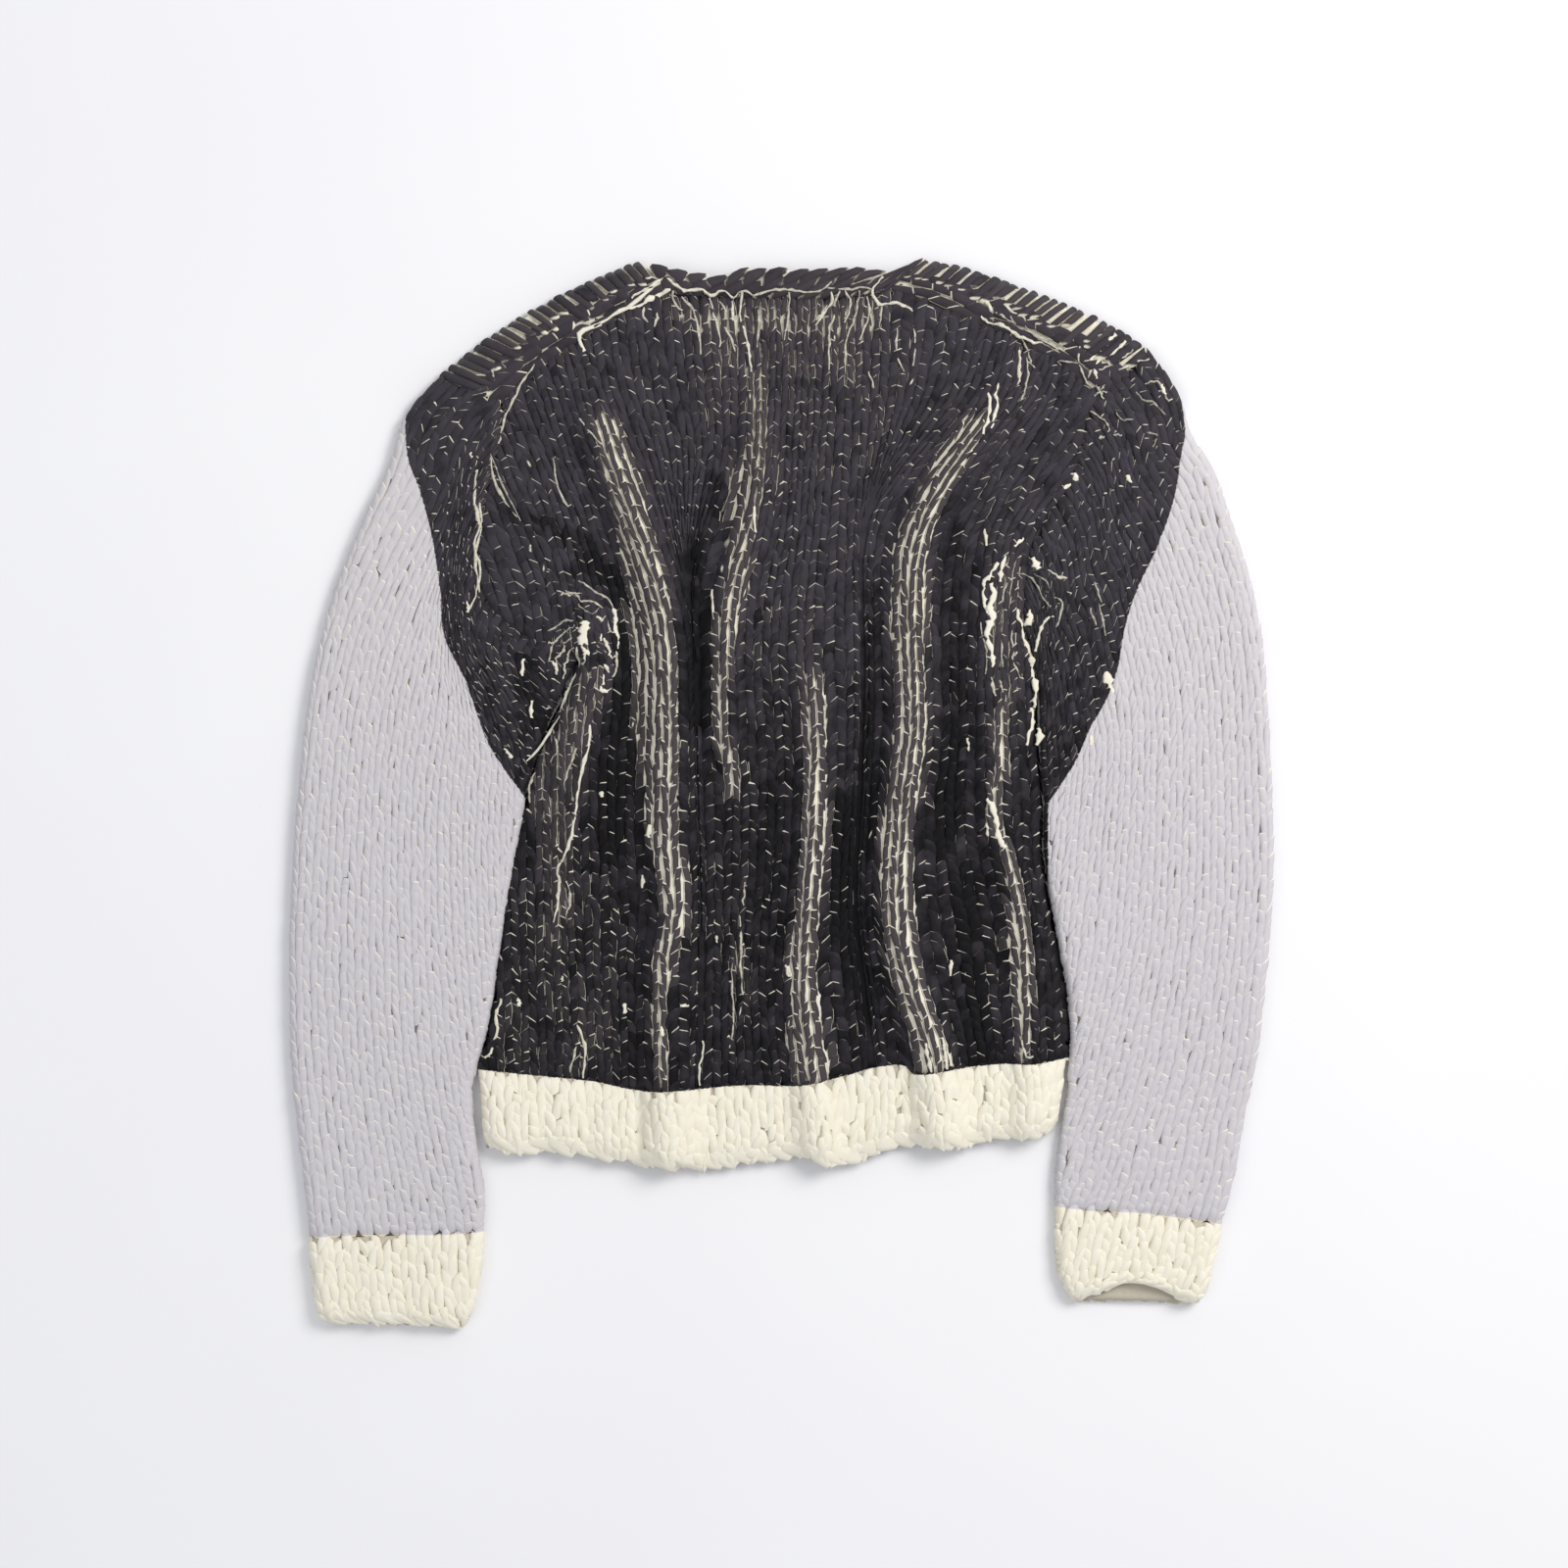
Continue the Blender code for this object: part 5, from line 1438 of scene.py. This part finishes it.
# %% Stitches of the shoulder strips
RIB = 6.8
for side in ("left", "right"):
    strip = faces["strip_" + side][0]
    ribs = int(strip.widths[0] / RIB)
    q = (np.arange(ribs) + 0.5) * strip.widths[0] / ribs
    inner = np.stack([q + 1.2 * chance.normal(0, 1, ribs), 15.0 + 3.0 * chance.normal(0, 1, ribs)], axis=-1)
    outer = np.stack([q + 0.7 * chance.normal(0, 1, ribs), np.full(ribs, 43.0)], axis=-1)
    open_more = 0.60 + 0.20 * np.sin(q / strip.widths[0] * 9.0 + 2.5) + 0.12 * chance.normal(0, 1, ribs)
    lots = [lay_legs(strip, "front", inner, outer, np.full(ribs, 3.75), np.ones(ribs), skew=0.3,
                     opening=open_more, relief=2.5)]
    under = np.stack([q + RIB / 2, np.full(ribs, 60.0)], axis=-1)
    lots.append(lay_legs(strip, "front", outer - np.array([0.0, 8.0]), under, np.full(ribs, 3.1),
                         np.ones(ribs), plain_leg, opening=0.3))
    cells = int(strip.widths[0] / 15.0)
    for v, pitch in ((3.5, 0.0), (10.5, 0.5), (16.0, 0.1)):
        start = (np.arange(cells) + pitch) * strip.widths[0] / cells
        head = np.stack([start, v + 1.2 * chance.normal(0, 1, cells)], axis=-1)
        tail = head + np.stack([np.full(cells, 19.0), 1.5 * chance.normal(0, 1, cells)], axis=-1)
        tail[:, 0] = np.minimum(tail[:, 0], strip.widths[0] + 2)
        lots.append(lay_legs(strip, "front", head, tail, np.full(cells, 4.0), np.ones(cells), opening=0.45,
                             skew=0.8))
    front_pieces.append(make_piece(f"shoulder_strip_{side}_stitches", lots, charcoal_wool))

# %% [markdown]
# The sleeves are painted in one pale shade and lie almost flat. Their stitches are fuller
# and lower than those of the body, so they read as soft rows and not as open petals.

# %% Stitches of the sleeves
SLEEVE_COURSES = 67
sleeve_pieces = {"left": [], "right": []}
for side in ("left", "right"):
    face = faces["sleeve_" + side][0]
    for part, over, leg in (("top", 1, fine_leg), ("under", -1, plain_leg)):
        q, row = stitch_grid(face, SLEEVE_COURSES, WALE, side=over)
        lot = knit(face, "sleeve_" + side, q, row, SLEEVE_COURSES, WALE, leg, unevenness=1.3,
                   fullness=1.12, relief=0.50, head_wear=0.62)
        sleeve_pieces[side].append(make_piece(f"sleeve_{side}_stitches_{part}", [lot], grey_wool))

# %% [markdown]
# The hem and the cuffs end in a chain of slanting links, the edge that is left when the
# stitches are bound off one over the other.

# %% Stitches of the cuffs and the hem
CUFF_COURSES = 7
HEM_COURSES = 6
LINK = 12.5


def bound_edge(face, piece, pitch, over, leg):
    """A chain of slanting links along the open edge of a tube."""
    width = face.width(1.0)
    links = int(width / pitch)
    q = (np.arange(links) + 0.5) * width / links * over
    v = np.full(links, face.length)
    wander = chance.normal(0, 1, (4, links))
    head = np.stack([q - 10.5 + 1.5 * wander[0], v - 7.5 + 1.0 * wander[1]], axis=-1)
    tail = np.stack([q + 9.0 + 1.5 * wander[2], v - 0.5 + 1.0 * wander[3]], axis=-1)
    return lay_legs(face, piece, head, tail, np.full(links, 4.3), np.ones(links), leg, opening=0.1,
                    skew=0.3, relief=1.5)


def edged_band(piece, courses):
    """All the stitches of a cuff or of the hem."""
    face = faces[piece][0]
    lots = []
    for over, leg in ((1, fine_leg), (-1, plain_leg)):
        q, row = stitch_grid(face, courses, WALE, side=over)
        lots.append(knit(face, piece, q, row, courses, WALE, leg, unevenness=2.4, fullness=1.18,
                         opening=0.1, relief=1.5))
        lots.append(bound_edge(face, piece, LINK, over, leg))
    return make_piece(piece + "_stitches", lots, cream_wool)


cuff_pieces = {side: [edged_band("cuff_" + side, CUFF_COURSES)] for side in ("left", "right")}
hem_pieces = [edged_band("hem_band", HEM_COURSES)]

# %% [markdown]
# The neck is bound off as well, in one fat chain. Each link shows a long petal next to
# the seam and a shorter one on top, and both lie aslant over the next. The chain at the
# back stands fuller in the middle, where it was bound off loosely.

# %% Chain stitches of the neck
LINK_PITCH = 10.9
for name, leg in (("neck_edge_back", petal_leg), ("neck_edge_front", plain_leg)):
    face = faces[name][0]
    links = int(face.length / LINK_PITCH) + 1
    lots = []
    for start, end, reach, half in ((5.0, 13.5, 1.75, 4.4), (12.5, 20.5, 1.45, 4.1)):
        v = (np.arange(links) - 0.4) * LINK_PITCH + (0.0 if half > 4.2 else 4.0)
        wander = chance.normal(0, 0.7, (4, links))
        head = np.stack([start + wander[0], v + wander[1]], axis=-1)
        tail = np.stack([end + wander[2], v + reach * LINK_PITCH + wander[3]], axis=-1)
        tail[:, 1] = np.clip(tail[:, 1], 5, face.length + 2)
        head[:, 1] = np.clip(head[:, 1], -3, tail[:, 1] - 6)
        lots.append(lay_legs(face, "neck", head, tail, np.full(links, half), np.ones(links), leg,
                             opening=0.50, flecks=0.0, relief=2.2, head_wear=0.8))
    if name == "neck_edge_back":
        for points, _, _ in lots:
            seam = at_side(whole_top, points[:, 0])
            fuller = 0.45 * smooth_step((points[:, 0] + 45) / 25) * smooth_step((80 - points[:, 0]) / 30)
            points[:, 1] += fuller * np.clip(points[:, 1] - seam, 0, None)
    make_piece(name + "_chain", lots, charcoal_wool)
    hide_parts(name)

# %% [markdown]
# ## Bare yarn drawn to the surface
# At the seams and where the cloth is strained, whole lengths of unpainted yarn show: the
# line under the neck, the shoulder seams, the swirl over the left underarm and the thick
# strokes at the right one. Their places were read off enlarged parts of the
# photograph, and they stand here as they were read: for each part its corner in the
# photograph of 1600 by 1600 pixels and its scale, then for each length its thickness
# and the places it runs through, in pixels of the enlarged part. The lines below turn
# them into pixels of the photograph and those into millimetres.

# %% Lengths of bare yarn
PIXEL = 0.68            # mm on the garment for one pixel of the photograph
MIDDLE_X = 797.5        # the photograph's pixel over the middle of the garment
MIDDLE_Y = 809.0
ENLARGED = 1568         # pixels across an enlarged part
EnlargedPart = namedtuple("EnlargedPart", "left top scale")
YARN_READINGS = (
    # under the neck
    (EnlargedPart(640, 240, 300 / ENLARGED), (
        (24, (0, 395), (60, 375), (130, 335), (235, 290)),
        (17, (170, 190), (210, 230), (260, 270), (310, 300), (400, 290), (450, 330), (510, 300),
         (560, 340)),
        (13, (560, 340), (620, 300), (680, 325), (760, 300), (850, 290), (960, 305), (1030, 300),
         (1090, 255)), (12, (1070, 280), (1180, 290), (1250, 285), (1310, 290)),
        (18, (20, 340), (90, 295), (170, 260), (200, 200)),
        (17, (1360, 225), (1310, 300), (1330, 350), (1355, 375), (1430, 360), (1520, 410)),
        (14, (90, 380), (85, 430), (105, 470)), (14, (165, 410), (150, 490)),
        (13, (245, 300), (250, 350), (290, 410)), (13, (290, 330), (345, 400), (380, 490), (390, 640)),
        (14, (440, 340), (465, 420), (490, 540), (490, 600)),
        (12, (495, 350), (520, 400), (515, 480), (560, 560), (570, 620)), (16, (560, 350), (560, 480)),
        (16, (615, 310), (600, 420), (625, 500), (650, 600), (665, 730)),
        (12, (700, 400), (700, 530), (690, 600)), (12, (860, 310), (860, 400), (840, 560)),
        (16, (1085, 310), (1090, 350), (1040, 430), (1010, 480)),
        (13, (1130, 300), (1105, 370), (1110, 430), (1080, 520), (1080, 720)),
        (14, (1160, 300), (1190, 370), (1165, 470)),
        (12, (1240, 300), (1220, 400), (1200, 480), (1170, 560), (1165, 730)),
        (14, (1280, 330), (1290, 420), (1240, 560)), (12, (1350, 380), (1345, 490)),
        (13, (1435, 500), (1440, 640), (1480, 730)), (13, (1530, 500), (1540, 600), (1520, 700)),
    )),
    # the right shoulder
    (EnlargedPart(1000, 250, 250 / ENLARGED), (
        (20, (0, 465), (60, 500), (140, 520), (240, 580), (300, 600), (340, 630), (400, 630)),
        (10, (400, 630), (440, 660), (510, 690)), (24, (20, 330), (75, 430)),
        (20, (140, 340), (150, 380), (230, 440)), (18, (330, 330), (290, 400), (290, 440)),
        (16, (410, 360), (340, 430)), (30, (600, 480), (600, 550)),
        (30, (700, 520), (640, 570), (590, 610)), (34, (870, 570), (800, 640), (740, 700), (700, 740)),
        (26, (930, 620), (870, 670), (800, 710), (740, 770)),
        (16, (780, 570), (690, 610), (640, 640), (630, 750)),
        (16, (980, 670), (920, 720), (820, 780), (760, 800)), (18, (1080, 740), (1000, 750), (890, 800)),
        (14, (60, 430), (120, 440), (180, 480), (230, 500), (245, 460)),
        (14, (250, 440), (290, 480), (300, 540), (370, 590), (460, 610)),
        (14, (400, 530), (450, 520), (500, 540), (540, 480)), (12, (500, 740), (560, 750), (640, 760)),
        (14, (640, 770), (660, 830), (690, 900)), (18, (765, 935), (790, 985)),
        (14, (765, 930), (735, 965)), (14, (765, 935), (800, 900)), (14, (760, 930), (745, 895)),
        (13, (765, 940), (815, 942)), (20, (730, 790), (740, 860)),
        (20, (240, 640), (255, 700), (255, 800), (240, 900)),
        (14, (260, 590), (310, 680), (330, 760), (350, 790)),
        (14, (300, 700), (310, 850), (290, 900), (280, 960), (250, 1010)),
        (22, (120, 880), (95, 960), (110, 1020), (70, 1180)), (25, (50, 940), (55, 1080), (10, 1220)),
        (14, (1050, 900), (1140, 880), (1180, 960), (1200, 1000)),
        (14, (700, 1060), (760, 1100), (820, 1150), (810, 1200)),
        (12, (990, 930), (1050, 1000), (1110, 1010), (1180, 1090)), (28, (1155, 900), (1180, 960)),
        (16, (760, 1240), (800, 1225)), (14, (850, 1220), (910, 1220)),
        (28, (610, 1460), (600, 1500), (540, 1560)), (26, (930, 1480), (970, 1520)),
        (12, (1060, 1200), (1140, 1220), (1100, 1290)), (12, (870, 1070), (910, 1120), (980, 1120)),
    )),
    # the right underarm
    (EnlargedPart(960, 540, 0.14035), (
        (34, (410, 250), (350, 340), (315, 400), (305, 520), (330, 620)),
        (34, (465, 200), (440, 290), (425, 390)),
        (44, (365, 400), (380, 480), (350, 560), (370, 640), (345, 720), (340, 820), (375, 900),
         (375, 1010)), (15, (290, 680), (300, 800), (325, 900), (320, 1060)),
        (42, (555, 590), (575, 680), (600, 800), (650, 920), (660, 1040), (690, 1120), (690, 1230),
         (680, 1300)), (40, (640, 590), (640, 660), (600, 700)),
        (26, (790, 640), (740, 700), (710, 800), (690, 890)), (20, (360, 1080), (390, 1210)),
        (17, (420, 1100), (430, 1150), (470, 1210), (470, 1260)),
        (34, (660, 1300), (670, 1400), (640, 1480), (625, 1568)),
        (50, (705, 1440), (720, 1500), (700, 1568)), (60, (1200, 1040), (1220, 1110), (1245, 1190)),
        (13, (545, 320), (640, 350), (700, 410), (740, 490), (790, 560)),
        (13, (680, 320), (760, 380), (790, 430)), (16, (450, 530), (460, 440), (540, 350), (560, 440)),
        (50, (670, 210), (710, 290)), (30, (600, 70), (530, 130)),
        (20, (780, 290), (850, 340), (920, 360)), (16, (820, 500), (870, 520), (880, 620), (830, 710)),
        (16, (1120, 390), (1170, 530)), (14, (1080, 580), (1130, 700)), (14, (1150, 540), (1200, 770)),
        (18, (530, 690), (510, 800), (530, 860), (515, 950), (580, 1080)), (16, (430, 830), (450, 1010)),
        (25, (320, 0), (330, 130)), (30, (1090, 1500), (1080, 1568)),
    )),
    # the swirl over the left underarm
    (EnlargedPart(560, 580, 140 / ENLARGED), (
        (26, (335, 150), (420, 200), (560, 270), (690, 360), (740, 460)),
        (60, (740, 460), (770, 560), (750, 660), (790, 830), (780, 920)),
        (30, (775, 950), (785, 1010), (780, 1130), (735, 1240)),
        (26, (375, 395), (470, 375), (560, 400), (610, 460)),
        (20, (345, 430), (420, 490), (520, 520), (590, 460)), (30, (120, 340), (180, 300), (250, 320)),
        (24, (190, 260), (260, 290), (380, 300)), (120, (420, 600), (425, 700), (400, 820), (390, 880)),
        (60, (390, 880), (430, 960), (430, 1050), (410, 1100)),
        (26, (300, 650), (170, 740), (60, 850), (20, 960), (10, 1050)),
        (28, (290, 780), (190, 850), (170, 930), (90, 1020), (85, 1080)),
        (30, (290, 900), (215, 970), (220, 1050), (180, 1120), (190, 1200), (150, 1260)),
        (32, (320, 900), (340, 1000), (350, 1130)), (36, (40, 1060), (90, 1130), (90, 1210)),
        (40, (640, 800), (690, 900), (710, 1030), (770, 1000)), (20, (560, 890), (660, 970)),
        (36, (560, 560), (630, 610)), (26, (670, 610), (695, 720)),
        (50, (640, 1220), (620, 1300), (600, 1400), (700, 1400)), (46, (650, 1100), (690, 1190)),
        (30, (330, 1170), (240, 1340), (200, 1430), (170, 1568)),
        (26, (0, 720), (60, 680), (180, 600), (280, 610)), (24, (310, 300), (370, 370)),
        (30, (0, 860), (60, 850)),
    )),
    # the upper half
    (EnlargedPart(400, 250, 600 / ENLARGED), (
        (10, (720, 90), (640, 160), (590, 190), (540, 220)), (13, (560, 210), (500, 240), (512, 285)),
        (7, (380, 320), (350, 360), (330, 400), (300, 460), (285, 530)),
        (7, (265, 570), (270, 620), (300, 680), (335, 725)),
        (8, (235, 690), (240, 740), (220, 800), (235, 860), (225, 930), (200, 980)),
        (6, (500, 465), (560, 540)), (12, (352, 1105), (348, 1150)), (12, (375, 1215), (370, 1260)),
        (9, (300, 1340), (320, 1370)), (9, (475, 1180), (445, 1260), (400, 1330), (360, 1375)),
        (10, (965, 700), (968, 770)), (9, (855, 920), (860, 1000)), (6, (265, 330), (275, 360)),
        (6, (430, 570), (440, 640), (470, 700)), (8, (200, 950), (205, 980)),
        (6, (1270, 340), (1290, 385)), (7, (1160, 160), (1130, 200)),
    )),
    # the right of the lower half
    (EnlargedPart(750, 750, 438 / ENLARGED), (
        (22, (915, 230), (940, 260), (955, 320), (960, 370), (985, 410)), (12, (915, 320), (925, 370)),
        (14, (790, 820), (788, 880)), (12, (185, 840), (205, 880)), (9, (1185, 1000), (1190, 1030)),
        (9, (840, 870), (842, 890)), (12, (690, 1120), (705, 1190), (710, 1235)),
        (12, (755, 1100), (775, 1230)), (12, (850, 10), (855, 60)),
        (10, (1045, 1110), (1060, 1170), (1085, 1170)),
    )),
    # single ones, read in the photograph itself
    (EnlargedPart(0, 0, 1.0), (
        (3.5, (512, 1020), (506, 1035), (508, 1050), (500, 1075), (495, 1080)),
        (3, (529, 1018), (529, 1026)), (3, (487, 480), (484, 510), (490, 540), (486, 570), (490, 605)),
        (2, (501, 465), (532, 532)), (4, (480, 462), (482, 468)), (4, (613, 647), (614, 655)),
        (3, (541, 556), (542, 563)),
    )),
    # the left of the lower half
    (EnlargedPart(500, 740, 400 / ENLARGED), (
        (14, (400, 0), (395, 100), (360, 230), (345, 320), (335, 400), (320, 460), (295, 530)),
        (12, (295, 530), (265, 580), (280, 620), (275, 700), (255, 790)),
        (10, (305, 620), (325, 690), (300, 760)), (10, (180, 190), (160, 260), (155, 310)),
        (9, (250, 0), (270, 90), (245, 150)), (9, (350, 90), (320, 170), (300, 230)),
        (9, (1020, 630), (1010, 720)), (10, (1000, 760), (1005, 870), (1005, 1000), (1010, 1080)),
        (9, (970, 950), (970, 1100), (975, 1190), (960, 1290)), (20, (1190, 960), (1202, 1000)),
        (12, (850, 1260), (855, 1300), (835, 1370), (840, 1440)),
        (12, (350, 1200), (375, 1260), (380, 1330), (370, 1410)), (10, (345, 1280), (320, 1390)),
        (20, (640, 400), (638, 450)), (22, (612, 600), (615, 650)), (20, (540, 1110), (540, 1150)),
        (22, (115, 1092), (115, 1122)), (16, (445, 262), (443, 290)), (14, (760, 1120), (795, 1118)),
        (12, (290, 1000), (290, 1025)), (12, (905, 840), (905, 870)), (16, (690, 1200), (695, 1240)),
    )),
)

# %% From readings to millimetres


def on_garment(part, spots):
    """Whole millimetres on the garment for places in an enlarged part, without repeats."""
    places = []
    for across, down in spots:
        x = round((part.left + across * part.scale - MIDDLE_X) * PIXEL)
        y = round((MIDDLE_Y - part.top - down * part.scale) * PIXEL)
        if (x, y) not in places[-1:]:
            places.append((x, y))
    return tuple(places)


yarn_lengths = []
for part, readings in YARN_READINGS:
    for width, *spots in readings:
        yarn_lengths.append((round(width * part.scale * PIXEL, 1), on_garment(part, spots)))
print(len(yarn_lengths), "lengths of bare yarn")

# %% [markdown]
# Each length is a thin tube of six sides that lies on the stitches. It tapers to both
# ends and its thickness wanders, as hand-spun yarn does.

# %% Laying the yarn


def shown_height(x, y):
    """The height of the side that shows, on the dark part of the garment."""
    plan = np.stack([x, y], axis=-1)
    on_body = (x > at_height(whole_left, y)) & (x < at_height(whole_right, y)) & (y < at_side(whole_top, x))
    beyond = np.clip(y - at_side(whole_top, x), 0, None) * 0.85
    strip = STRIP_TOP - 4.0 * smooth_step((beyond - 16) / 12)
    on_strip = (beyond > 0) & (x > -194) & (x < 219)
    height = np.where(on_body, back_heights(plan), np.where(on_strip, strip, SLEEVE_TOP))
    on_neck = (x > -80) & (x < 72) & (y > at_side(whole_top, x) - 2.5)
    return np.where(on_neck, NECK_EDGE_TOP + 0.9, height)


def lay_yarn(width, points):
    """Points, faces and yarn values of one length of yarn."""
    line = smooth_line(points, 5)
    line = at_share(line, np.linspace(0, 1, max(int(len(line) * 0.8), 6)))
    count = len(line)
    run = np.gradient(line, axis=0)
    run /= np.maximum(np.linalg.norm(run, axis=1, keepdims=True), 1e-6)
    aside = np.stack([-run[:, 1], run[:, 0]], axis=-1)
    line = line + aside * chance.normal(0, 0.32, (count, 1))
    taper = np.sin(np.pi * np.linspace(0.10, 0.90, count)) ** 0.45
    half = 0.5 * width * taper * np.clip(1 + 0.30 * chance.normal(0, 1, count), 0.35, 1.7)
    turns = np.linspace(0, 2 * np.pi, 6, endpoint=False)
    level = shown_height(line[:, 0], line[:, 1]) + 0.35
    plan = line[:, None, :] + aside[:, None, :] * (half[:, None] * np.cos(turns)[None, :])[..., None]
    high = level[:, None] + 0.65 * np.sin(turns)[None, :] * np.minimum(1.0, half[:, None] + 0.2)
    points = np.dstack([plan, high]).reshape(-1, 3)
    index = np.arange(count * 6).reshape(count, 6)
    following = np.roll(index, -1, axis=1)
    quads = np.stack([index[:-1], index[1:], following[1:], following[:-1]], axis=-1).reshape(-1, 4)
    shown = np.full(len(points), min(0.28 + 0.22 * width, 1.1))
    nothing = np.zeros(len(points))
    values = {"yarn": np.stack([shown, nothing + chance.normal(0, 1), nothing], axis=-1),
              "paint": np.stack([nothing + ALL_DARK, nothing - ALL_DARK, nothing], axis=-1)}
    return points, quads, values


bare_yarn = make_piece("bare_yarn", [lay_yarn(*length) for length in yarn_lengths], charcoal_wool)

# %% [markdown]
# Every panel is a sheet that was knitted to a size.

# %% [markdown]
# ## Floor and light
# The photograph was taken on a seamless white surface in soft daylight from the right
# and above, so the shadows fall to the left and are faint.

# %% The floor
bpy.ops.mesh.primitive_plane_add(size=8.0, location=(0.0, 0.0, -0.0002))
floor = bpy.context.object
floor.name = "floor"
floor_material = bpy.data.materials.new("white paper")
floor_material.use_nodes = True
paper = floor_material.node_tree.nodes["Principled BSDF"]
wires = Wiring(floor_material.node_tree)
PAPER = (0.86, 0.85, 0.88, 1)
PAPER_LIGHT = (0.90, 0.90, 0.91, 1)
wires.link(wires.blend(wires.noise(3.0), PAPER, PAPER_LIGHT), paper.inputs["Base Color"])
paper.inputs["Roughness"].default_value = 0.8
floor.data.materials.append(floor_material)

# %% [markdown]
# A window is a large soft source. One square lamp stands for it and a weak second one
# for the wall opposite, while the world gives the even light of a white room.

# %% The light
world = bpy.data.worlds.new("soft room")
world.use_nodes = True
world.node_tree.nodes["Background"].inputs["Color"].default_value = (0.95, 0.97, 1.0, 1)
world.node_tree.nodes["Background"].inputs["Strength"].default_value = 0.58
bpy.context.scene.world = world


def lamp(name, place, size, power, colour):
    """A square soft light aimed at the garment."""
    data = bpy.data.lights.new(name, "AREA")
    data.size = size
    data.energy = power
    data.color = colour
    light = bpy.data.objects.new(name, data)
    light.location = place
    direction = -light.location
    light.rotation_euler = direction.to_track_quat("-Z", "Y").to_euler()
    bpy.context.scene.collection.objects.link(light)
    return light


lamp("window", (1.8, 1.28, 2.15), 1.4, 63.5, (1.0, 0.98, 0.96))
lamp("far wall", (-1.8, -0.6, 2.4), 2.0, 12.0, (0.95, 0.97, 1.0))
bpy.context.scene.view_settings.view_transform = "Standard"
